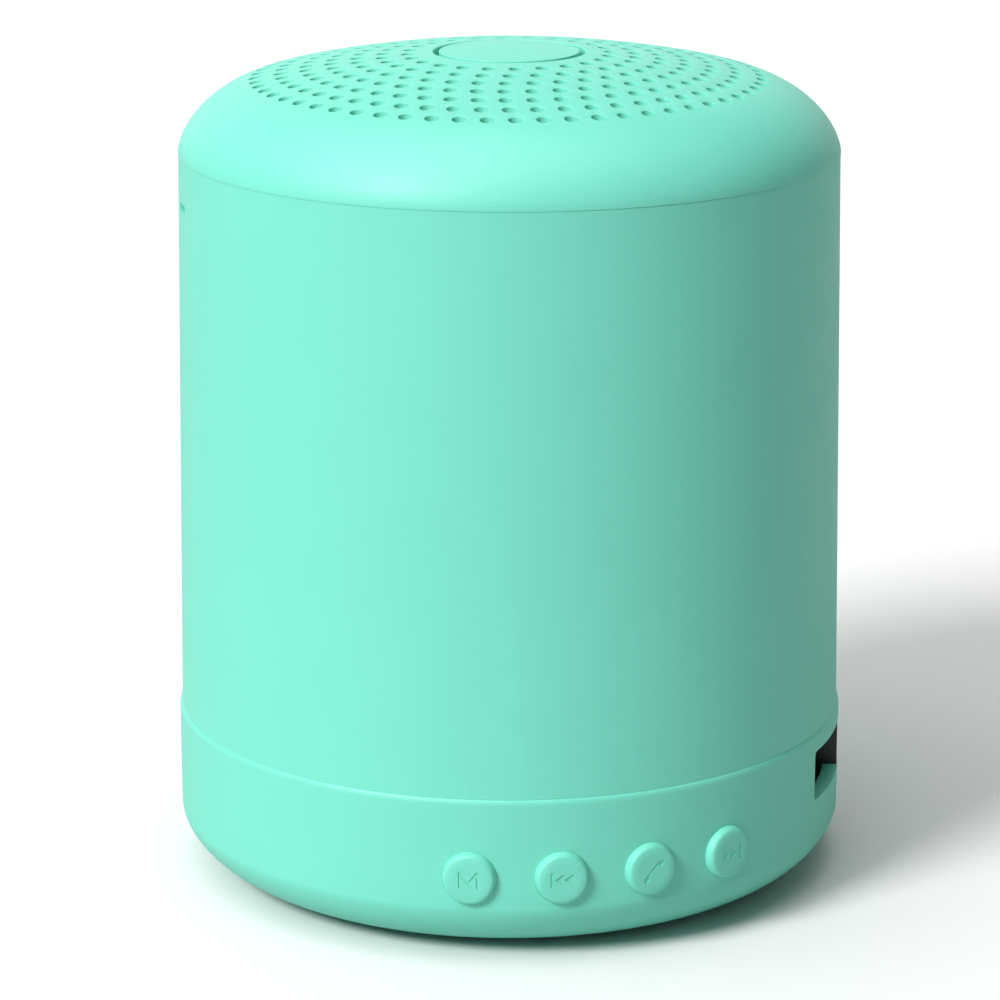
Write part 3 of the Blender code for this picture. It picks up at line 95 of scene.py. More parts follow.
# Sound holes: ring n has 6 n of them, and each ring starts a little further round than the one inside it
RINGS = range(4, 11)
HOLES_PER_STEP = 6
RING_PITCH = 1.98 * MM
GRILLE_BEARING = math.radians(23.3)
RING_TWIST = math.radians(2.6)
HOLE_RADIUS = 0.54 * MM
HOLE_EASE = 0.06 * MM

# Sleeve
LEDGE_Z = 15.1 * MM
LEDGE_TOP_Z = 16.6 * MM
LEDGE_INNER = 22.9 * MM
LEDGE_WALL_Z = 15.0 * MM  # heights at which the wall's taper is read for the ledge's two inner corners
LEDGE_WALL_TOP_Z = 16.0 * MM
LANYARD_Z = 53.5 * MM
LANYARD_BEARING = math.radians(-84.0)
LANYARD_BAR_HALF = 2.2 * MM
LANYARD_SPAN_HALF = 4.4 * MM
LANYARD_TUNNEL_DEPTH = 1.45 * MM
LANYARD_BLOCK_WALL = 1.1 * MM
LANYARD_BLOCK_HALF = 1.6 * MM
LANYARD_SLOT_RISE = 0.85 * MM
LANYARD_SLOT_HALF = 0.3 * MM

# Base
HEEL_Z = 4.7 * MM
HEEL_RUN = 6.2 * MM
HEEL_SIDE_PULL_Z = 3.41 * MM
HEEL_FLOOR_PULL = 4.03 * MM
RIM_DEPTH = 0.07 * MM
RIM_HEIGHT = 0.5 * MM
FLOOR_INNER_RADIUS = 20.58 * MM
HEEL_INNER_Z = 4.2 * MM
LIP_OUTER = 24.76 * MM
LIP_INNER = 23.61 * MM
LIP_TOP_Z = 14.8 * MM
FOOT_RADIUS = 14.3 * MM
FOOT_TOP_Z = 0.7 * MM
FOOT_POCKET_RADIUS = 14.6 * MM
FOOT_POCKET_Z = 1.0 * MM
BASE_SCREW_BEARINGS = tuple(math.radians(b) for b in (45, 165, 285))
BASE_SCREW_CIRCLE = 17.0 * MM
BASE_POST_RADIUS = 2.6 * MM
BASE_POST_TOP_Z = 13.0 * MM
BOARD_SCREW_BEARINGS = tuple(math.radians(b) for b in (133, 253))
BOARD_SCREW_CIRCLE = 13.0 * MM
BOARD_POST_RADIUS = 1.9 * MM
BOARD_POST_TOP_Z = 7.6 * MM

# Buttons
BUTTON_BEARINGS = {"mode": -6.5, "previous": 8.5, "call": 23.5, "next": 38.5}
BUTTON_Z = 7.1 * MM
BUTTON_RADIUS = 1.74 * MM
BUTTON_FOOT = 2.1 * MM
BUTTON_PROUD = 0.57 * MM
ICON_STROKE = 0.2 * MM
ICON_DEPTH = 0.07 * MM

# Window, sockets and the black insert around them, whose rib across the window is black as painted shade
WINDOW_HALF_WIDTH = 11.65 * MM
WINDOW_Z = 7.78 * MM
WINDOW_TOP_Z = 11.88 * MM
INSERT_FRONT_X = 21.53 * MM
INSERT_THICKNESS = 0.7 * MM
SHELF_RADIUS = 25.5 * MM
REBATE_RADIUS = 25.58 * MM
# A rib across the window that closes the socket's end: its black is painted shade where a mint end wall would
# lie in shadow
PAINTED_SHADE_RIB_SIDES = (-2.8 * MM, -2.1 * MM)
SOCKET_FACE_X = 23.98 * MM
SOCKET_SIDE = -6.9 * MM
SOCKET_MIDDLE_Z = 10.05 * MM
SOCKET_DEPTH = 6.0 * MM
CONTACT_PITCH = 0.72 * MM
CARD_SIDE = 4.0 * MM
CARD_MIDDLE_Z = 9.525 * MM
CARD_DEPTH = 5.4 * MM
LAMP_SIDE = 11.0 * MM
LAMP_HOLE_RADIUS = 0.5 * MM

SHARP_ANGLE = math.radians(40.0)
SAME_SPOT = 1e-8

# ---------------------------------------------------------------- shader groups


def new_group(name, inputs, outputs):
    group = bpy.data.node_groups.new(name, "ShaderNodeTree")
    for label, kind, value in inputs:
        socket = group.interface.new_socket(label, in_out="INPUT", socket_type=kind)
        socket.default_value = value
    for label, kind in outputs:
        group.interface.new_socket(label, in_out="OUTPUT", socket_type=kind)
    return group, group.nodes.new("NodeGroupInput"), group.nodes.new("NodeGroupOutput")


def add(tree, kind, links=None, **settings):
    node = tree.nodes.new(kind)
    for key, value in settings.items():
        setattr(node, key, value)
    for socket, source in (links or {}).items():
        target = node.inputs[socket]
        if isinstance(source, bpy.types.NodeSocket):
            tree.links.new(source, target)
        else:
            target.default_value = source
    return node


def maths(tree, operation, a, b=0.5, clamp=False):
    return add(tree, "ShaderNodeMath", {0: a, 1: b}, operation=operation, use_clamp=clamp).outputs[0]


def blended(tree, a, share_a, b, share_b):
    """The sum of two values, each times its share."""
    return maths(tree, "ADD", maths(tree, "MULTIPLY", a, share_a), maths(tree, "MULTIPLY", b, share_b))


def noise(tree, where, scale, detail=3.0, rough=0.5):
    links = {"Vector": where, "Scale": scale, "Detail": detail, "Roughness": rough}
    return add(tree, "ShaderNodeTexNoise", links).outputs[0]


def spread(tree, value, low, high):
    links = {"Value": value, "From Min": 0.3, "From Max": 0.7, "To Min": low, "To Max": high}
    return add(tree, "ShaderNodeMapRange", links).outputs[0]


def tinted(tree, colour, amount):
    """The colour, made lighter or darker by the amount."""
    return add(tree, "ShaderNodeHueSaturation", {"Color": colour, "Value": amount}).outputs[0]


def mixed(tree, share, a, b):
    node = add(tree, "ShaderNodeMix", {0: share}, data_type="RGBA")
    for slot, source in ((6, a), (7, b)):
        if isinstance(source, bpy.types.NodeSocket):
            tree.links.new(source, node.inputs[slot])
        else:
            node.inputs[slot].default_value = source
    return node.outputs[2]


COMMON = [
    ("Colour", "NodeSocketColor", (0.5, 0.5, 0.5, 1.0)),
    ("Worn Colour", "NodeSocketColor", (0.7, 0.7, 0.7, 1.0)),
    ("Roughness", "NodeSocketFloat", 0.5),
    ("Variation", "NodeSocketFloat", 0.05),
    ("Grain", "NodeSocketFloat", 4000.0),
    ("Wear", "NodeSocketFloat", 0.2),
]
RESULTS = [("Colour", "NodeSocketColor"), ("Roughness", "NodeSocketFloat"), ("Height", "NodeSocketFloat")]


def edge_wear(tree, amount, where):
    """Where raised edges have been rubbed, broken up by a coarse noise."""
    edge = add(tree, "ShaderNodeNewGeometry").outputs["Pointiness"]
    raised = add(tree, "ShaderNodeMapRange", {"Value": edge, "From Min": 0.51, "From Max": 0.6}).outputs[0]
    broken = spread(tree, noise(tree, where, 420.0, 4.0), 0.2, 1.0)
    return maths(tree, "MULTIPLY", maths(tree, "MULTIPLY", raised, broken), amount, True)


def build_group(name, pattern):
    """A surface group: broad tone drift, then the pattern's own height and tone, then worn edges."""
    group, inlet, outlet = new_group(name, COMMON, RESULTS)
    where = add(group, "ShaderNodeTexCoord").outputs["Object"]
    cloudy = noise(group, where, 130.0, 3.0)
    fine = noise(group, where, inlet.outputs["Grain"], 2.0, 0.6)
    height, tone = pattern(group, where, inlet.outputs["Grain"], fine)
    swing = maths(group, "MULTIPLY", inlet.outputs["Variation"], maths(group, "SUBTRACT", cloudy, 0.5))
    tone_swing = maths(group, "MULTIPLY", inlet.outputs["Variation"], maths(group, "SUBTRACT", tone, 0.5))
    value = maths(group, "ADD", maths(group, "ADD", swing, tone_swing), 1.0)
    colour = tinted(group, inlet.outputs["Colour"], value)
    worn = edge_wear(group, inlet.outputs["Wear"], where)
    colour = mixed(group, worn, colour, inlet.outputs["Worn Colour"])
    smudge = spread(group, noise(group, where, 210.0, 4.0, 0.6), -0.05, 0.05)
    rough = maths(group, "ADD", inlet.outputs["Roughness"], smudge)
    uneven = maths(group, "MULTIPLY", maths(group, "SUBTRACT", tone, 0.5), 0.12)
    rough = maths(group, "ADD", rough, uneven, True)
    group.links.new(colour, outlet.inputs["Colour"])
    group.links.new(rough, outlet.inputs["Roughness"])
    group.links.new(height, outlet.inputs["Height"])
    return group


def moulded(tree, where, grain, fine):
    """Fine pits of a spark-eroded mould."""
    cells = add(tree, "ShaderNodeTexVoronoi", {"Vector": where, "Scale": maths(tree, "MULTIPLY", grain, 0.6)})
    pits = spread(tree, cells.outputs["Distance"], 0.0, 0.5)
    return maths(tree, "ADD", pits, maths(tree, "MULTIPLY", fine, 0.6)), fine


def brushed(tree, where, grain, fine):
    """Streaks drawn out along Y."""
    stretched = add(tree, "ShaderNodeMapping", {"Vector": where, "Scale": (1.0, 0.05, 1.0)}).outputs[0]
    streaks = noise(tree, stretched, grain, 4.0, 0.6)
    return maths(tree, "ADD", streaks, maths(tree, "MULTIPLY", fine, 0.15)), streaks


def woven(tree, where, grain, fine):
    """Two crossed sets of threads."""
    bands = []
    for axis in ("X", "Y"):
        links = {"Vector": where, "Scale": grain, "Distortion": 0.6}
        bands.append(add(tree, "ShaderNodeTexWave", links, bands_direction=axis).outputs[1])
    weave = maths(tree, "MAXIMUM", *bands)
    return weave, blended(tree, weave, 0.7, fine, 0.3)


def speckled(tree, where, grain, fine):
    """Pressed grains."""
    cells = add(tree, "ShaderNodeTexVoronoi", {"Vector": where, "Scale": grain, "Randomness": 1.0})
    crystal = cells.outputs["Distance"]
    return crystal, blended(tree, crystal, 0.6, fine, 0.4)


def wound(tree, where, grain, fine):
    """Turns of wire stacked along Z."""
    links = {"Vector": where, "Scale": grain, "Distortion": 0.15}
    turns = add(tree, "ShaderNodeTexWave", links, bands_direction="Z").outputs[1]
    return turns, blended(tree, turns, 0.7, fine, 0.3)


def fibrous(tree, where, grain, fine):
    """Strands pressed flat."""
    stretched = add(tree, "ShaderNodeMapping", {"Vector": where, "Scale": (1.0, 0.25, 0.6)}).outputs[0]
    strands = noise(tree, stretched, grain, 5.0, 0.7)
    return strands, blended(tree, strands, 0.6, fine, 0.4)


GROUPS = {
    "moulded": build_group("Moulded Plastic", moulded),
    "brushed": build_group("Brushed Metal", brushed),
    "woven": build_group("Woven Cloth", woven),
    "speckled": build_group("Sintered Grain", speckled),
    "wound": build_group("Wound Wire", wound),
    "fibrous": build_group("Pressed Fibre", fibrous),
}


def finish(name, surface, colour, rough, metallic=0.0, grain=4000.0, depth=0.01, variation=0.08, wear=0.2):
    """A material from one of the surface groups. The depth of its relief is in millimetres."""
    made = bpy.data.materials.new(name)
    made.use_nodes = True
    tree = made.node_tree
    shader = tree.nodes["Principled BSDF"]
    group = add(tree, "ShaderNodeGroup", node_tree=GROUPS[surface])
    worn = tuple(min(1.0, channel * 1.25 + 0.03) for channel in colour)
    values = {
        "Colour": (*colour, 1.0),
        "Worn Colour": (*worn, 1.0),
        "Roughness": rough,
        "Variation": variation,
        "Grain": grain,
        "Wear": wear,
    }
    for key, value in values.items():
        group.inputs[key].default_value = value
    relief = {"Height": group.outputs["Height"], "Strength": 0.6, "Distance": depth * MM}
    bump = add(tree, "ShaderNodeBump", relief)
    tree.links.new(group.outputs["Colour"], shader.inputs["Base Color"])
    tree.links.new(group.outputs["Roughness"], shader.inputs["Roughness"])
    tree.links.new(bump.outputs[0], shader.inputs["Normal"])
    shader.inputs["Metallic"].default_value = metallic
    return made


MINT = (0.187, 0.735, 0.575)
FINISHES = {
    "mint_shell": finish(
        "Satin mint moulding", "moulded", MINT, 0.5, grain=5200.0, depth=0.006, variation=0.05, wear=0.12
    ),
    "mint_button": finish(
        "Mint button cap", "moulded", MINT, 0.52, grain=5200.0, depth=0.006, variation=0.05, wear=0.15
    ),
    "mint_cloth": finish(
        "Mint dust cloth", "woven", (0.05, 0.32, 0.25), 0.9, grain=2600.0, depth=0.06, variation=0.3
    ),
    "black_plastic": finish(
        "Black moulding", "moulded", (0.012, 0.012, 0.013), 0.45, grain=3600.0, depth=0.012, variation=0.2
    ),
    "white_plastic": finish(
        "White nylon", "moulded", (0.74, 0.73, 0.69), 0.5, grain=3600.0, depth=0.008, variation=0.08
    ),
    "grey_rubber": finish(
        "Grey rubber", "moulded", (0.05, 0.054, 0.054), 0.78, grain=2600.0, depth=0.03, variation=0.2
    ),
    "foam": finish(
        "Closed cell foam", "speckled", (0.055, 0.055, 0.06), 0.95, grain=3000.0, depth=0.12, variation=0.4
    ),
    "green_board": finish(
        "Green board", "woven", (0.015, 0.13, 0.055), 0.32, grain=1400.0, depth=0.01, variation=0.25
    ),
    "zinc_steel": finish(
        "Zinc plated steel", "brushed", (0.56, 0.56, 0.57), 0.32, 1.0,
        grain=3000.0, depth=0.006, variation=0.2,
    ),
    "ferrite": finish(
        "Sintered ferrite", "speckled", (0.035, 0.035, 0.038), 0.6, grain=2400.0, depth=0.03, variation=0.5
    ),
    "copper_wire": finish(
        "Enamelled copper", "wound", (0.72, 0.32, 0.16), 0.32, 1.0, grain=1600.0, depth=0.08, variation=0.3
    ),
    "black_paper": finish(
        "Pressed paper", "fibrous", (0.022, 0.022, 0.024), 0.85, grain=2200.0, depth=0.05, variation=0.5
    ),
    "spider_cloth": finish(
        "Resin dipped cotton", "woven", (0.5, 0.3, 0.11), 0.85, grain=1500.0, depth=0.08, variation=0.35
    ),
    "battery_foil": finish(
        "Battery foil", "fibrous", (0.56, 0.58, 0.61), 0.3, 0.85, grain=260.0, depth=0.05, variation=0.12
    ),
    "red_wire": finish(
        "Red wire sleeve", "moulded", (0.55, 0.02, 0.02), 0.45, grain=1800.0, depth=0.01, variation=0.15
    ),
    "black_wire": finish(
        "Black wire sleeve", "moulded", (0.015, 0.015, 0.016), 0.45, grain=1800.0, depth=0.01, variation=0.2
    ),
    "contact_gold": finish(
        "Gold plated contact", "brushed", (0.85, 0.6, 0.22), 0.28, 1.0,
        grain=2600.0, depth=0.004, variation=0.15,
    ),
    "socket_steel": finish(
        "Tinned socket shell", "brushed", (0.7, 0.7, 0.71), 0.24, 1.0,
        grain=2400.0, depth=0.004, variation=0.15,
    ),
}
SLOT_OF = {part["node"]: part["material_slot"] for part in frame["record"]["subparts"]}


# ---------------------------------------------------------------- shape tools


def place_at(bearing, radius, z=0.0):
    return Vector((radius * math.sin(bearing), -radius * math.cos(bearing), z))


def outward(bearing, radius, z):
    """A placing whose local +Z points away from the axis, and local +Y points up."""
    turn = Matrix.Rotation(bearing, 4, "Z") @ Matrix.Rotation(math.radians(90.0), 4, "X")
    return Matrix.Translation(place_at(bearing, radius, z)) @ turn


def facing_out(x, y, z):
    turn = Matrix.Rotation(math.radians(90.0), 4, "Z") @ Matrix.Rotation(math.radians(90.0), 4, "X")
    return Matrix.Translation((x, y, z)) @ turn


def bezier(start, start_pull, end_pull, end, count):
    points = []
    for step in range(count + 1):
        t = step / count
        weights = ((1 - t) ** 3, 3 * t * (1 - t) ** 2, 3 * t * t * (1 - t), t**3)
        corners = (start, start_pull, end_pull, end)
        points.append(tuple(sum(w * c[axis] for w, c in zip(weights, corners)) for axis in (0, 1)))
    return points


def eased(points, steps=4):
    """An outline of (x, y) or (x, y, round) points. A corner with a round becomes a short curve."""
    result = []
    count = len(points)
    for index, point in enumerate(points):
        here = Vector(point[:2])
        if len(point) == 2:
            result.append(tuple(here))
            continue
        before = Vector(points[index - 1][:2]) - here
        after = Vector(points[(index + 1) % count][:2]) - here
        reach = min(point[2], 0.49 * before.length, 0.49 * after.length)
        a = here + before.normalized() * reach
        b = here + after.normalized() * reach
        for step in range(steps + 1):
            t = step / steps
            spot = (1 - t) ** 2 * a + 2 * t * (1 - t) * here + t * t * b
            result.append(tuple(spot))
    return result


def smooth(mesh):
    mesh.shade_smooth()
    mesh.set_sharp_from_angle(angle=SHARP_ANGLE)


def to_object(name, bm, placing=Matrix.Identity(4)):
    bmesh.ops.remove_doubles(bm, verts=bm.verts, dist=SAME_SPOT)
    bmesh.ops.recalc_face_normals(bm, faces=bm.faces)
    mesh = bpy.data.meshes.new(name)
    bm.to_mesh(mesh)
    bm.free()
    mesh.transform(placing)
    smooth(mesh)
    obj = bpy.data.objects.new(name, mesh)
    bpy.context.scene.collection.objects.link(obj)
    return obj


def spun(bm, outline, sides):
    """Spins an outline of (radius, height) points about Z. One that starts on the axis also ends there."""
    on_axis = outline[0][0] == 0.0
    verts = [bm.verts.new((radius, 0.0, height)) for radius, height in outline]
    pairs = list(zip(verts, verts[1:]))
    if not on_axis:
        pairs.append((verts[-1], verts[0]))
    edges = [bm.edges.new(pair) for pair in pairs]
    geom = verts + edges
    axis = (0.0, 0.0, 1.0)
    bmesh.ops.spin(bm, geom=geom, cent=(0, 0, 0), axis=axis, angle=2 * math.pi, steps=sides, use_merge=True)
    bmesh.ops.remove_doubles(bm, verts=bm.verts, dist=SAME_SPOT)


def turned(name, outline, sides=64, placing=Matrix.Identity(4)):
    bm = bmesh.new()
    spun(bm, outline, sides)
    return to_object(name, bm, placing)


def add_prism(bm, outline, low, high, placing=Matrix.Identity(4)):
    verts = [bm.verts.new(placing @ Vector((x, y, low))) for x, y in outline]
    face = bm.faces.new(verts)
    lifted = bmesh.ops.extrude_face_region(bm, geom=[face])["geom"]
    raised = [item for item in lifted if isinstance(item, bmesh.types.BMVert)]
    step = (placing @ Vector((0, 0, high))) - (placing @ Vector((0, 0, low)))
    bmesh.ops.translate(bm, verts=raised, vec=step)


def add_rod(bm, radius, low, high, placing=Matrix.Identity(4), sides=32):
    corners = [2 * math.pi * (side + 0.5) / sides for side in range(sides)]
    add_prism(bm, [(radius * math.cos(a), radius * math.sin(a)) for a in corners], low, high, placing)


def add_rings(bm, rings):
    """Joins rings of points, one above the other, into a closed body."""
    rings = [[bm.verts.new(point) for point in ring] for ring in rings]
    for lower, upper in zip(rings, rings[1:]):
        for side in range(len(lower)):
            after = (side + 1) % len(lower)
            bm.faces.new((lower[side], lower[after], upper[after], upper[side]))
    bm.faces.new(reversed(rings[0]))
    bm.faces.new(rings[-1])


def rounded_box(width, height, radius, x=0.0, y=0.0):
    half_w, half_h = width / 2, height / 2
    corners = [(-half_w, -half_h), (half_w, -half_h), (half_w, half_h), (-half_w, half_h)]
    return eased([(x + a, y + b, radius) for a, b in corners])


def carve(obj, bm, operation="DIFFERENCE"):
    """Cuts a shape out of a piece, or with UNION adds it."""
    tool = to_object(obj.name + "_tool", bm)
    modifier = obj.modifiers.new("carve", "BOOLEAN")
    modifier.operation = operation
    modifier.solver = "EXACT"
    modifier.object = tool
    graph = bpy.context.evaluated_depsgraph_get()
    mesh = bpy.data.meshes.new_from_object(obj.evaluated_get(graph))
    obj.modifiers.clear()
    old = obj.data
    obj.data = mesh
    bpy.data.meshes.remove(old)
    bpy.data.objects.remove(tool, do_unlink=True)
    smooth(mesh)


def true_normals(obj, outline):
    """Gives the faces that lie on the turned outline the outline's own smooth direction."""
    mesh = obj.data
    points = np.array(outline)
    steps = np.diff(points, axis=0)
    lengths = np.linalg.norm(steps, axis=1)
    across = np.stack([steps[:, 1], -steps[:, 0]], axis=1) / lengths[:, None]
    at_points = np.vstack([across[:1], across[:-1] + across[1:], across[-1:]])
    at_points /= np.linalg.norm(at_points, axis=1)[:, None]
    corners = len(mesh.loops)
    owner = np.empty(corners, np.int32)
    mesh.loops.foreach_get("vertex_index", owner)
    spots = np.empty(len(mesh.vertices) * 3)
    mesh.vertices.foreach_get("co", spots)
    spots = spots.reshape(-1, 3)
    normals = np.empty(corners * 3)
    mesh.corner_normals.foreach_get("vector", normals)
    normals = normals.reshape(-1, 3)
    facing = np.empty(len(mesh.polygons) * 3)
    mesh.polygons.foreach_get("normal", facing)
    sizes = np.empty(len(mesh.polygons), np.int32)
    mesh.polygons.foreach_get("loop_total", sizes)
    facing = np.repeat(facing.reshape(-1, 3), sizes, axis=0)
    reach = np.hypot(spots[:, 0], spots[:, 1])
    flat = np.stack([reach, spots[:, 2]], axis=1)
    best = np.full(len(flat), 1e9)
    found = np.zeros((len(flat), 2))
    for index in range(len(steps)):
        share = (flat - points[index]) @ steps[index] / lengths[index] ** 2
        share = np.clip(share, 0.0, 1.0)
        gap = np.linalg.norm(points[index] + share[:, None] * steps[index] - flat, axis=1)
        closer = gap < best
        best[closer] = gap[closer]
        blend = (1 - share)[:, None] * at_points[index] + share[:, None] * at_points[index + 1]
        found[closer] = blend[closer]
    safe = np.maximum(reach, 1e-9)
    away = found[:, 0] / safe
    turned_normals = np.stack([away * spots[:, 0], away * spots[:, 1], found[:, 1]], axis=1)
    turned_normals /= np.maximum(np.linalg.norm(turned_normals, axis=1), 1e-9)[:, None]
    wanted = turned_normals[owner]
    near, aligned = 0.03 * MM, 0.9
    fits = (best[owner] < near) & ((wanted * facing).sum(axis=1) > aligned)
    normals[fits] = wanted[fits]
    mesh.normals_split_custom_set(normals.tolist())


def dress(obj, slot_name, body, *nodes):
    """Gives a piece its finish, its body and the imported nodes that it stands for."""
    obj.data.materials.clear()
    obj.data.materials.append(FINISHES[slot_name])
    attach(obj, body)
    if nodes:
        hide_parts(*nodes)
    return obj


# ---------------------------------------------------------------- shell


def dome_z(radius):
    return APEX_Z - radius**2 / (2 * DOME_RADIUS)


def shoulder(count):
    """From the dome's edge, along its slope, round and down to the sleeve."""
    slope = DOME_EDGE_RADIUS / DOME_RADIUS
    edge = (DOME_EDGE_RADIUS, dome_z(DOME_EDGE_RADIUS))
    edge_pull = (edge[0] + SHOULDER_REACH, edge[1] - SHOULDER_REACH * slope)
    side = (TOP_RADIUS, SHOULDER_Z)
    side_pull = (TOP_RADIUS - SHOULDER_LEAN, SHOULDER_Z + SHOULDER_LIFT)
    return bezier(edge, edge_pull, side_pull, side, count)


def grille_holes():
    """The radius and bearing of every sound hole."""
    holes = []
    for number in RINGS:
        count = HOLES_PER_STEP * number
        start = GRILLE_BEARING + RING_TWIST * number
        holes += [(number * RING_PITCH, start + 2 * math.pi * k / count) for k in range(count)]
    return holes


def add_hole(bm, radius, bearing):
    """A pin through the dome whose mouth opens out along the dome's surface."""
    sides = 20
    centre = place_at(bearing, radius)
    low = dome_z(radius) - CAP_WALL - 0.6 * MM
    rings = []
    for flare, lift in ((0.0, None), (0.0, -1.0), (0.12, -0.6), (0.4, -0.25), (1.0, 0.0), (1.6, 0.25)):
        ring = []
        for side in range(sides):
            angle = 2 * math.pi * side / sides
            width = HOLE_RADIUS + flare * HOLE_EASE
            x = centre.x + width * math.cos(angle)
            y = centre.y + width * math.sin(angle)
            z = low if lift is None else dome_z(math.hypot(x, y)) + lift * HOLE_EASE
            ring.append((x, y, z))
        rings.append(ring)
    add_rings(bm, rings)


def make_cap():
    recess = DISC_RADIUS + DISC_GROOVE
    recess_z = APEX_Z - DISC_RECESS
    ease = 0.08 * MM
    dome = [recess + ease + (DOME_EDGE_RADIUS - recess - ease) * i / 14 for i in range(14)]
    face = [(recess, recess_z + 0.3 * MM), (recess, dome_z(recess) - ease)]
    face += [(radius, dome_z(radius)) for radius in dome]
    face += shoulder(22)
    face += [(TOP_RADIUS, CAP_Z + 0.02 * MM), (TOP_RADIUS - 0.02 * MM, CAP_Z)]
    inner = [CAVITY_RADIUS * (1 - i / 8) for i in range(9)]
    outline = [(0.0, recess_z), (recess, recess_z)] + face
    outline += [(SPIGOT_OUTER, CAP_Z), (SPIGOT_OUTER, SPIGOT_FOOT_Z)]
    outline += [(SPIGOT_INNER, SPIGOT_FOOT_Z), (SPIGOT_INNER, SEAT_Z)]
    outline += [(CAVITY_RADIUS, SEAT_Z)]
    outline += [(radius, dome_z(radius) - CAP_WALL) for radius in inner]
    cap = turned("shell_cap", outline, 160)
    holes = bmesh.new()
    for radius, bearing in grille_holes():
        add_hole(holes, radius, bearing)
    carve(cap, holes)
    true_normals(cap, [point for point in face if point[0] > recess])
    dress(cap, "mint_shell", "housing", "top_cap")


def make_disc():
    edge_z = dome_z(DISC_RADIUS) + 0.02 * MM
    under = APEX_Z - DISC_RECESS + 0.3 * MM
    crown = [(DISC_RADIUS * 0.96 * i / 6, edge_z + DISC_CROWN * (1 - (i / 6) ** 2)) for i in range(7)]
    rim = (DISC_RADIUS, edge_z - 0.01 * MM, 0.12 * MM)
    outline = eased(crown + [rim, (DISC_RADIUS, under), (0.0, under)])
    dress(turned("cap_centre_disc", outline, 96), "mint_shell", "housing", "centre_disc")


def sleeve_radius(z):
    share = (z - BASE_TOP_Z) / (CAP_Z - BASE_TOP_Z)
    return (BASE_RADIUS - FOOT_STEP) * (1 - share) + (TOP_RADIUS - SEAM_STEP) * share


def make_sleeve():
    top = CAP_Z - 0.01 * MM
    foot = BASE_TOP_Z + 0.01 * MM
    ease = 0.01 * MM
    face = [
        (sleeve_radius(top) - ease, top),
        (sleeve_radius(top), top - ease),
    ]
    face += [(sleeve_radius(z), z) for z in (46 * MM, 36 * MM, 26 * MM)]
    face += [(sleeve_radius(foot), foot + ease), (sleeve_radius(foot) - ease, foot)]
    outline = face + [
        (sleeve_radius(foot) - WALL, foot),
        (sleeve_radius(LEDGE_WALL_Z) - WALL, LEDGE_Z),
        (LEDGE_INNER, LEDGE_Z),
        (LEDGE_INNER, LEDGE_TOP_Z),
        (sleeve_radius(LEDGE_WALL_TOP_Z) - WALL, LEDGE_TOP_Z),
        (sleeve_radius(top) - WALL, top),
    ]
    sleeve = turned("shell_sleeve", outline, 192)
    add_lanyard_bar(sleeve)
    true_normals(sleeve, face)
    dress(sleeve, "mint_shell", "housing", "outer_sleeve")


def add_lanyard_bar(sleeve):
    """A block inside the wall with a tunnel through it, which leaves a bar between two slots."""
    turn = Matrix.Translation((0, 0, LANYARD_Z)) @ Matrix.Rotation(LANYARD_BEARING, 4, "Z")
    outer = sleeve_radius(LANYARD_Z)
    wall_in = outer - WALL
    reach = wall_in - LANYARD_TUNNEL_DEPTH
    block = bmesh.new()
    side = LANYARD_SPAN_HALF + LANYARD_BLOCK_WALL
    back = reach - LANYARD_BLOCK_WALL
    into_wall = outer - 1.0 * MM
    outline = [(-side, -back), (side, -back), (side, -into_wall), (-side, -into_wall)]
    add_prism(block, outline, -LANYARD_BLOCK_HALF, LANYARD_BLOCK_HALF, turn)
    carve(sleeve, block, "UNION")
    tunnel = bmesh.new()
    clear = outer + 1.0 * MM
    outline = [
        (-LANYARD_SPAN_HALF, -clear),
        (-LANYARD_BAR_HALF, -clear),
        (-LANYARD_BAR_HALF, -wall_in),
        (LANYARD_BAR_HALF, -wall_in),
        (LANYARD_BAR_HALF, -clear),
        (LANYARD_SPAN_HALF, -clear),
        (LANYARD_SPAN_HALF, -reach),
        (-LANYARD_SPAN_HALF, -reach),
    ]
    low = LANYARD_SLOT_RISE - LANYARD_SLOT_HALF
    add_prism(tunnel, outline, low, low + 2 * LANYARD_SLOT_HALF, turn)
    carve(sleeve, tunnel)


def post(bearing, circle):
    return Matrix.Translation(place_at(bearing, circle))


def sector(radius, half_width, back_x):
    """An outline around +X with a straight back, two parallel sides and a front that is an arc about Z."""
    half_angle = math.asin(half_width / radius)
    arc = [half_angle * (i / 20 - 1) for i in range(41)]
    outline = [(radius * math.cos(a), radius * math.sin(a)) for a in arc]
    return outline + [(back_x, half_width), (back_x, -half_width)]


def add_screw_shaft(bm, bearing):
    """The stepped hole up through a post, with a slightly opened mouth underneath."""
    steps = eased(
        [
            (0.0, -1.0 * MM),
            (2.4 * MM, -1.0 * MM),
            (2.2 * MM, UNDERSIDE_Z),
            (2.0 * MM, UNDERSIDE_Z + 0.15 * MM),
            (2.0 * MM, 3.4 * MM),
            (1.2 * MM, 3.4 * MM),
            (1.2 * MM, 14.0 * MM),
            (0.0, 14.0 * MM),
        ]
    )
    before = set(bm.verts)
    spun(bm, steps, 32)
    made = [vert for vert in bm.verts if vert not in before]
    bmesh.ops.translate(bm, verts=made, vec=place_at(bearing, BASE_SCREW_CIRCLE))


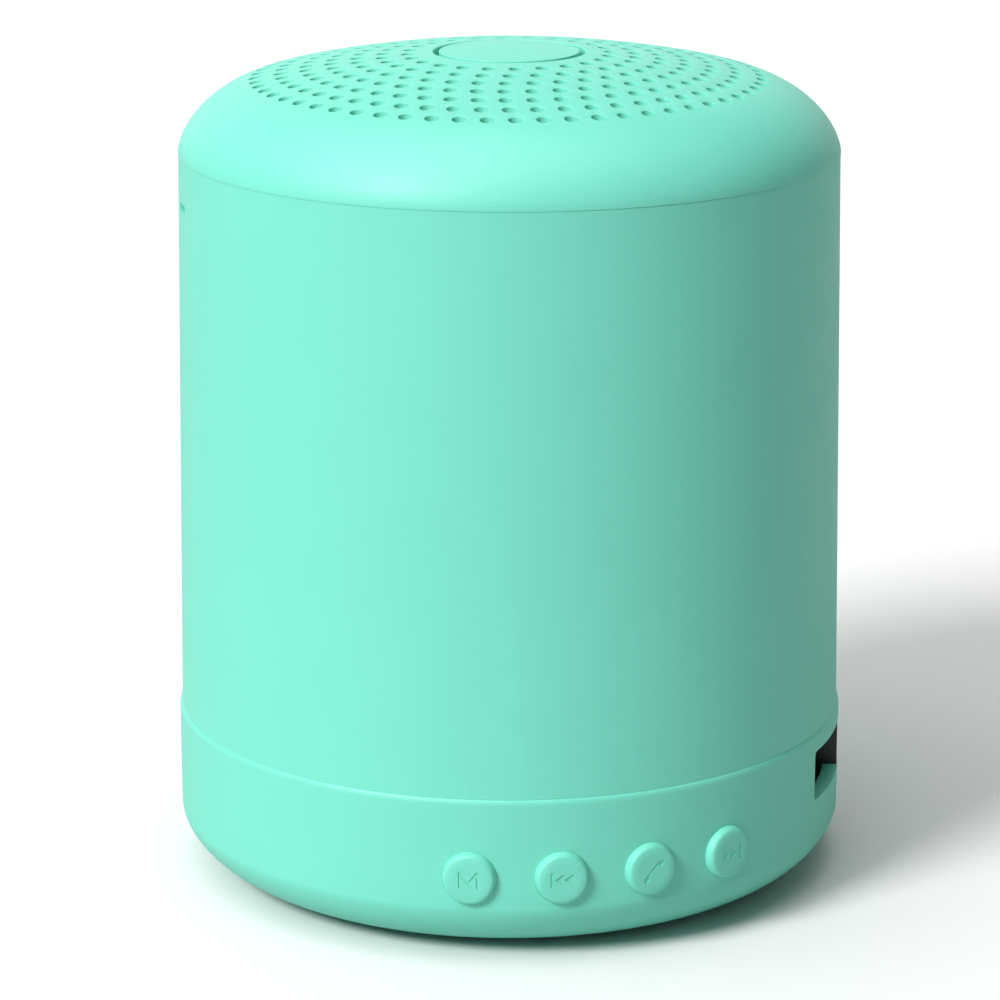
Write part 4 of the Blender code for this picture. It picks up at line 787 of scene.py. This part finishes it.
def base_face():
    """The base's outer face, from the rounded rim down to the flat underside."""
    side = (BASE_RADIUS, HEEL_Z)
    flat = (BASE_RADIUS - HEEL_RUN, UNDERSIDE_Z)
    side_pull = (BASE_RADIUS, HEEL_SIDE_PULL_Z)
    heel = bezier(side, side_pull, (flat[0] + HEEL_FLOOR_PULL, UNDERSIDE_Z), flat, 24)
    rim = (BASE_RADIUS - FOOT_STEP + 0.01 * MM, BASE_TOP_Z)
    rim_pull = (BASE_RADIUS - RIM_DEPTH, BASE_TOP_Z - 0.08 * MM)
    foot = (BASE_RADIUS, BASE_TOP_Z - RIM_HEIGHT)
    top = bezier(rim, rim_pull, (BASE_RADIUS, BASE_TOP_Z - RIM_HEIGHT / 2), foot, 8)
    walls = [(BASE_RADIUS, z * MM) for z in (12.0, 9.0, 7.0)]
    return top + walls + heel


def make_base():
    face = base_face()
    floor_z = UNDERSIDE_Z + WALL
    inner = BASE_RADIUS - WALL
    outline = [(0.0, floor_z), (FLOOR_INNER_RADIUS, floor_z), (inner, HEEL_INNER_Z), (inner, WINDOW_TOP_Z)]
    outline += [(LIP_INNER, BASE_TOP_Z - 0.3 * MM), (LIP_INNER, LIP_TOP_Z)]
    outline += [(LIP_OUTER, LIP_TOP_Z), (LIP_OUTER, BASE_TOP_Z)]
    outline += face
    outline += [(FOOT_POCKET_RADIUS, UNDERSIDE_Z), (FOOT_POCKET_RADIUS, FOOT_POCKET_Z), (0.0, FOOT_POCKET_Z)]
    base = turned("shell_base", outline, 192)
    pillars = bmesh.new()
    for bearing in BASE_SCREW_BEARINGS:
        add_rod(pillars, BASE_POST_RADIUS, 1.2 * MM, BASE_POST_TOP_Z, post(bearing, BASE_SCREW_CIRCLE))
    for bearing in BOARD_SCREW_BEARINGS:
        add_rod(pillars, BOARD_POST_RADIUS, 1.6 * MM, BOARD_POST_TOP_Z, post(bearing, BOARD_SCREW_CIRCLE))
    carve(base, pillars, "UNION")
    gaps = bmesh.new()
    for bearing in BASE_SCREW_BEARINGS:
        add_screw_shaft(gaps, bearing)
    for bearing in BOARD_SCREW_BEARINGS:
        add_rod(gaps, 0.8 * MM, 4.4 * MM, 9.0 * MM, post(bearing, BOARD_SCREW_CIRCLE), 16)
    for bearing in BUTTON_BEARINGS.values():
        spot = outward(math.radians(bearing), BASE_RADIUS, BUTTON_Z)
        add_rod(gaps, BUTTON_FOOT + 0.01 * MM, -2.6 * MM, 1.0 * MM, spot, 48)
    spot = facing_out(20.0 * MM, 0.0, (WINDOW_Z + WINDOW_TOP_Z) / 2)
    shape = rounded_box(2 * WINDOW_HALF_WIDTH, WINDOW_TOP_Z - WINDOW_Z, 0.45 * MM)
    add_prism(gaps, shape, 0.0, 8.0 * MM, spot)
    carve(base, gaps)
    rebate = bmesh.new()
    rebate_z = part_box("port_insert")[0][2] - 0.06 * MM
    shape = sector(REBATE_RADIUS, WINDOW_HALF_WIDTH, 20.0 * MM)
    add_prism(rebate, shape, rebate_z, WINDOW_Z + 0.5 * MM)
    carve(base, rebate)
    true_normals(base, face)
    dress(base, "mint_shell", "housing", "base_housing")


# ---------------------------------------------------------------- buttons


def surface_drop(across):
    """How far the base's round wall falls back from the button's middle."""
    return math.sqrt(BASE_RADIUS**2 - across**2) - BASE_RADIUS


def stroke(bm, points, width, depth, placing):
    """A line cut with square ends, each piece a little prism."""
    for (x0, y0), (x1, y1) in zip(points, points[1:]):
        along = Vector((x1 - x0, y1 - y0)).normalized() * (width / 2)
        side = Vector((-along.y, along.x))
        a, b = Vector((x0, y0)) - along, Vector((x1, y1)) + along
        corners = [a + side, a - side, b - side, b + side]
        add_prism(bm, [tuple(c) for c in corners], -depth, 1.0 * MM, placing)


def icon_cutters(name, placing):
    """The icon as a few separate cutters, because strokes of one cutter may not cross."""
    width, depth = ICON_STROKE, ICON_DEPTH
    parts = []

    def line(*points):
        for start, end in zip(points, points[1:]):
            bm = bmesh.new()
            stroke(bm, [start, end], width, depth, placing)
            parts.append(bm)

    def shape(points):
        bm = bmesh.new()
        add_prism(bm, points, -depth, 1.0 * MM, placing)
        parts.append(bm)

    m = MM
    if name == "mode":
        half_w, half_h, leg, dip = 0.78 * m, 0.66 * m, 0.2 * m, 0.28 * m
        shape(
            [
                (-half_w, -half_h),
                (-half_w + leg, -half_h),
                (-half_w + leg, half_h - 0.42 * m),
                (0.0, -dip - 0.16 * m),
                (half_w - leg, half_h - 0.42 * m),
                (half_w - leg, -half_h),
                (half_w, -half_h),
                (half_w, half_h),
                (half_w - leg, half_h),
                (0.0, -dip + 0.2 * m),
                (-half_w + leg, half_h),
                (-half_w, half_h),
            ]
        )
    if name in ("previous", "next"):
        way = -1.0 if name == "previous" else 1.0
        line((way * 0.85 * m, -0.5 * m), (way * 0.85 * m, 0.5 * m))
        for tip in (0.62, -0.1):
            back = way * (tip - 0.68) * m
            points = [(way * tip * m, 0.0), (back, 0.45 * m), (back, -0.45 * m)]
            shape(points if way > 0 else points[::-1])
    if name == "call":
        line((-0.62 * m, -0.62 * m), (0.5 * m, 0.62 * m))
        for x, y in ((-0.5, -0.72), (0.68, 0.5)):
            bm = bmesh.new()
            tilt = Matrix.Translation((x * m, y * m, 0)) @ Matrix.Rotation(math.radians(48.0), 4, "Z")
            add_prism(bm, rounded_box(0.5 * m, 0.34 * m, 0.1 * m), -depth, 1.0 * m, placing @ tilt)
            parts.append(bm)
    return parts


def make_button(name, bearing):
    """A flexible cap whose foot stays in the shell, and the plunger that its face pushes in."""
    placing = outward(bearing, BASE_RADIUS, BUTTON_Z)
    sides = 64
    skirt = [(BUTTON_FOOT, -0.5 * MM, 1.0), (BUTTON_FOOT, -0.01 * MM, 1.0)]
    low, high = (BUTTON_FOOT - 0.02 * MM, 0.04 * MM), (BUTTON_RADIUS, BUTTON_PROUD)
    curve = bezier(low, (2.03 * MM, 0.28 * MM), (1.97 * MM, 0.5 * MM), high, 10)
    skirt += [(r, z, 1.0 - i / 10) for i, (r, z) in enumerate(curve)]
    skirt += [(1.2 * MM, BUTTON_PROUD, 0.0), (0.6 * MM, BUTTON_PROUD, 0.0)]
    rings = []
    for radius, height, follow in skirt:
        ring = []
        for side in range(sides):
            angle = 2 * math.pi * side / sides
            x, y = radius * math.cos(angle), radius * math.sin(angle)
            ring.append((x, y, height + follow * surface_drop(x)))
        rings.append(ring)
    bm = bmesh.new()
    add_rings(bm, rings)
    skin = to_object("button_skin_" + name, bm, placing)
    at_face = placing @ Matrix.Translation((0, 0, BUTTON_PROUD))
    for cutter in icon_cutters(name, at_face):
        carve(skin, cutter)
    skin.data.materials.clear()
    skin.data.materials.append(FINISHES["mint_button"])
    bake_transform(skin)
    outline = eased(
        [
            (0.0, -0.75 * MM),
            (1.5 * MM, -0.75 * MM, 0.1 * MM),
            (1.5 * MM, -1.9 * MM),
            (2.6 * MM, -2.05 * MM, 0.1 * MM),
            (2.6 * MM, -2.55 * MM, 0.1 * MM),
            (0.7 * MM, -2.55 * MM, 0.1 * MM),
            (0.7 * MM, -2.9 * MM, 0.1 * MM),
            (0.0, -2.9 * MM),
        ]
    )
    plunger = turned("button_plunger_" + name, outline, 40, placing)
    dress(plunger, "mint_button", "button_" + name, "button_" + name)


# ---------------------------------------------------------------- sockets in the window


def make_port_insert():
    box_low, box_high = (Vector(corner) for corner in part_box("port_insert"))
    half_w = (box_high.y - box_low.y) / 2
    front = INSERT_FRONT_X
    inside = front - INSERT_THICKNESS / 2
    spot = facing_out(front, 0.0, (box_low.z + box_high.z) / 2)
    bm = bmesh.new()
    add_prism(bm, rounded_box(2 * half_w, box_high.z - box_low.z, 0.3 * MM), -INSERT_THICKNESS, 0.0, spot)
    plate = to_object("port_plate", bm)
    shelf = bmesh.new()
    add_prism(shelf, sector(SHELF_RADIUS, half_w, inside), box_low.z, WINDOW_Z - 0.04 * MM)
    carve(plate, shelf, "UNION")
    # The rib closes the window's far end beside the micro-USB socket. Its black is painted shade, standing in
    # for the shadowed mint end wall.
    painted_shade_rib = bmesh.new()
    left, right = PAINTED_SHADE_RIB_SIDES
    reach = BASE_RADIUS - 0.05 * MM
    outline = [(inside, left), (math.sqrt(reach**2 - left**2), left)]
    outline += [(math.sqrt(reach**2 - right**2), right), (inside, right)]
    add_prism(painted_shade_rib, outline, WINDOW_Z + 0.02 * MM, WINDOW_TOP_Z - 0.02 * MM)
    carve(plate, painted_shade_rib, "UNION")
    holes = bmesh.new()
    spot = facing_out(front, SOCKET_SIDE, SOCKET_MIDDLE_Z)
    add_prism(holes, rounded_box(8.0 * MM, 2.9 * MM, 0.5 * MM), -2.0 * MM, 1.0 * MM, spot)
    spot = facing_out(front, CARD_SIDE, CARD_MIDDLE_Z)
    add_prism(holes, rounded_box(12.0 * MM, 1.85 * MM, 0.2 * MM), -2.0 * MM, 1.0 * MM, spot)
    spot = facing_out(front, LAMP_SIDE, CARD_MIDDLE_Z)
    add_rod(holes, LAMP_HOLE_RADIUS, -2.0 * MM, 1.0 * MM, spot, 24)
    carve(plate, holes)
    dress(plate, "black_plastic", "housing", "port_insert")


def make_usb():
    spot = facing_out(SOCKET_FACE_X, SOCKET_SIDE, SOCKET_MIDDLE_Z)
    outer = eased(
        [
            (-3.1 * MM, -1.25 * MM, 0.3 * MM),
            (3.1 * MM, -1.25 * MM, 0.3 * MM),
            (3.8 * MM, -0.55 * MM, 0.3 * MM),
            (3.8 * MM, 1.25 * MM, 0.35 * MM),
            (-3.8 * MM, 1.25 * MM, 0.35 * MM),
            (-3.8 * MM, -0.55 * MM, 0.3 * MM),
        ]
    )
    inner = [(x * 0.925, y * 0.78) for x, y in outer]
    bm = bmesh.new()
    add_prism(bm, outer, -SOCKET_DEPTH, 0.0, spot)
    shell = to_object("usb_shell", bm)
    mouth = bmesh.new()
    add_prism(mouth, inner, -5.2 * MM, 1.0 * MM, spot)
    carve(shell, mouth)
    dress(shell, "socket_steel", "housing", "usb_socket")
    bm = bmesh.new()
    add_prism(bm, rounded_box(4.6 * MM, 0.6 * MM, 0.08 * MM, 0.0, 0.25 * MM), -5.3 * MM, -0.7 * MM, spot)
    tongue = to_object("usb_tongue", bm)
    dress(tongue, "black_plastic", "housing")
    for index in range(5):
        x = (index - 2) * CONTACT_PITCH
        bm = bmesh.new()
        add_prism(bm, rounded_box(0.36 * MM, 0.08 * MM, 0.02 * MM, x, -0.08 * MM), -5.2 * MM, -0.9 * MM, spot)
        contact = to_object(f"usb_contact_{index + 1}", bm)
        dress(contact, "contact_gold", "housing")


def make_card_slot():
    spot = facing_out(SOCKET_FACE_X, CARD_SIDE, CARD_MIDDLE_Z)
    bm = bmesh.new()
    add_prism(bm, rounded_box(11.6 * MM, 1.45 * MM, 0.12 * MM), -CARD_DEPTH, 0.0, spot)
    shell = to_object("card_slot_shell", bm)
    mouth = bmesh.new()
    add_prism(mouth, rounded_box(11.1 * MM, 0.8 * MM, 0.1 * MM), -4.9 * MM, 1.0 * MM, spot)
    carve(shell, mouth)
    notch = bmesh.new()
    add_prism(notch, rounded_box(2.4 * MM, 1.0 * MM, 0.2 * MM, 3.0 * MM, 0.9 * MM), -1.2 * MM, 1.0 * MM, spot)
    carve(shell, notch)
    dress(shell, "socket_steel", "housing", "card_slot")


# ---------------------------------------------------------------- underside


def make_foot():
    outline = eased(
        [
            (0.0, 0.0),
            (FOOT_RADIUS, 0.0, 0.25 * MM),
            (FOOT_RADIUS, FOOT_TOP_Z),
            (0.0, FOOT_TOP_Z),
        ]
    )
    dress(turned("foot_pad_fine", outline, 128), "grey_rubber", "housing", "foot_pad")


def make_base_screw(number, bearing):
    """A pan head screw, driven up from below. Zero height is where its head meets its shaft."""
    under = 3.1 * MM
    spot = Matrix.Translation(place_at(bearing, BASE_SCREW_CIRCLE, under))
    outline = eased(
        [
            (0.0, 13.4 * MM),
            (0.5 * MM, 13.4 * MM),
            (0.9 * MM, 12.8 * MM),
            (0.9 * MM, 0.0),
            (1.7 * MM, 0.0),
            (1.7 * MM, -0.8 * MM, 0.5 * MM),
            (1.0 * MM, -1.5 * MM, 0.7 * MM),
            (0.0, -1.5 * MM),
        ]
    )
    screw = turned(f"base_screw_fine_{number}", outline, 32, spot)
    arm, half = 1.1 * MM, 0.2 * MM
    cross = [(arm, -half), (arm, half), (half, half), (half, arm), (-half, arm), (-half, half)]
    cross += [(-x, -y) for x, y in cross]
    recess = bmesh.new()
    turn = spot @ Matrix.Rotation(math.radians(17.0 * number), 4, "Z")
    add_prism(recess, cross, -3.0 * MM, -0.6 * MM, turn)
    carve(screw, recess)
    dress(screw, "zinc_steel", "housing", f"base_screw_{number}")


make_cap()
make_disc()
make_sleeve()
make_base()
for button_name, degrees in BUTTON_BEARINGS.items():
    make_button(button_name, math.radians(degrees))
make_port_insert()
make_usb()
make_card_slot()
make_foot()
for screw_number, screw_bearing in enumerate(BASE_SCREW_BEARINGS, 1):
    make_base_screw(screw_number, screw_bearing)

for node_name, node in frame["nodes"].items():
    node.data.materials.clear()
    node.data.materials.append(FINISHES[SLOT_OF[node_name]])

# ---------------------------------------------------------------- studio

# The camera sees the floor and the world paler than they are, so that they don't flood the piece with light.
floor_mesh = bpy.data.meshes.new("studio_floor")
far = 3.0
floor_mesh.from_pydata([(-far, -far, 0), (far, -far, 0), (far, far, 0), (-far, far, 0)], [], [(0, 1, 2, 3)])
floor = bpy.data.objects.new("studio_floor", floor_mesh)
bpy.context.scene.collection.objects.link(floor)
floor_finish = bpy.data.materials.new("Pale floor")
floor_finish.use_nodes = True
floor_shader = floor_finish.node_tree.nodes["Principled BSDF"]
seen = add(floor_finish.node_tree, "ShaderNodeLightPath").outputs["Is Camera Ray"]
pale = mixed(floor_finish.node_tree, seen, (0.6, 0.6, 0.6, 1.0), (0.86, 0.86, 0.86, 1.0))
floor_finish.node_tree.links.new(pale, floor_shader.inputs["Base Color"])
floor_shader.inputs["Roughness"].default_value = 0.9
floor_mesh.materials.append(floor_finish)

world = bpy.data.worlds.new("studio")
world.use_nodes = True
world.node_tree.nodes["Background"].inputs["Color"].default_value = (1.0, 1.0, 1.0, 1.0)
seen = add(world.node_tree, "ShaderNodeLightPath").outputs["Is Camera Ray"]
strength = maths(world.node_tree, "MAXIMUM", maths(world.node_tree, "MULTIPLY", seen, 0.85), 0.1)
world.node_tree.links.new(strength, world.node_tree.nodes["Background"].inputs["Strength"])
bpy.context.scene.world = world


def area_light(name, spot, size, power, aim=(0.0, 0.0, 0.035)):
    light = bpy.data.lights.new(name, "AREA")
    light.shape = "RECTANGLE"
    light.size, light.size_y = size
    light.energy = power
    obj = bpy.data.objects.new(name, light)
    obj.location = spot
    obj.rotation_euler = (Vector(aim) - Vector(spot)).to_track_quat("-Z", "Y").to_euler()
    bpy.context.scene.collection.objects.link(obj)


area_light("back", (0.0, 0.6, 0.2), (1.2, 0.35), 1.3)
area_light("top", (-0.15, -0.1, 0.8), (0.9, 0.9), 4.9)

sun = bpy.data.lights.new("key", "SUN")
sun.energy = 2.75
sun.angle = math.radians(20.0)
key = bpy.data.objects.new("key", sun)
key.rotation_euler = Vector((-0.576, -0.537, 0.616)).to_track_quat("Z", "Y").to_euler()
bpy.context.scene.collection.objects.link(key)

camera_data = bpy.data.cameras.new("camera")
camera_data.lens = 136.9
camera_data.shift_x = -0.0094
camera_data.clip_start = 0.01
camera = bpy.data.objects.new("camera", camera_data)
camera.location = (0.0, -0.295, 0.1113)
camera.rotation_euler = (math.radians(74.46), 0.0, 0.0)
bpy.context.scene.collection.objects.link(camera)
bpy.context.scene.camera = camera
bpy.context.scene.view_settings.view_transform = "Standard"
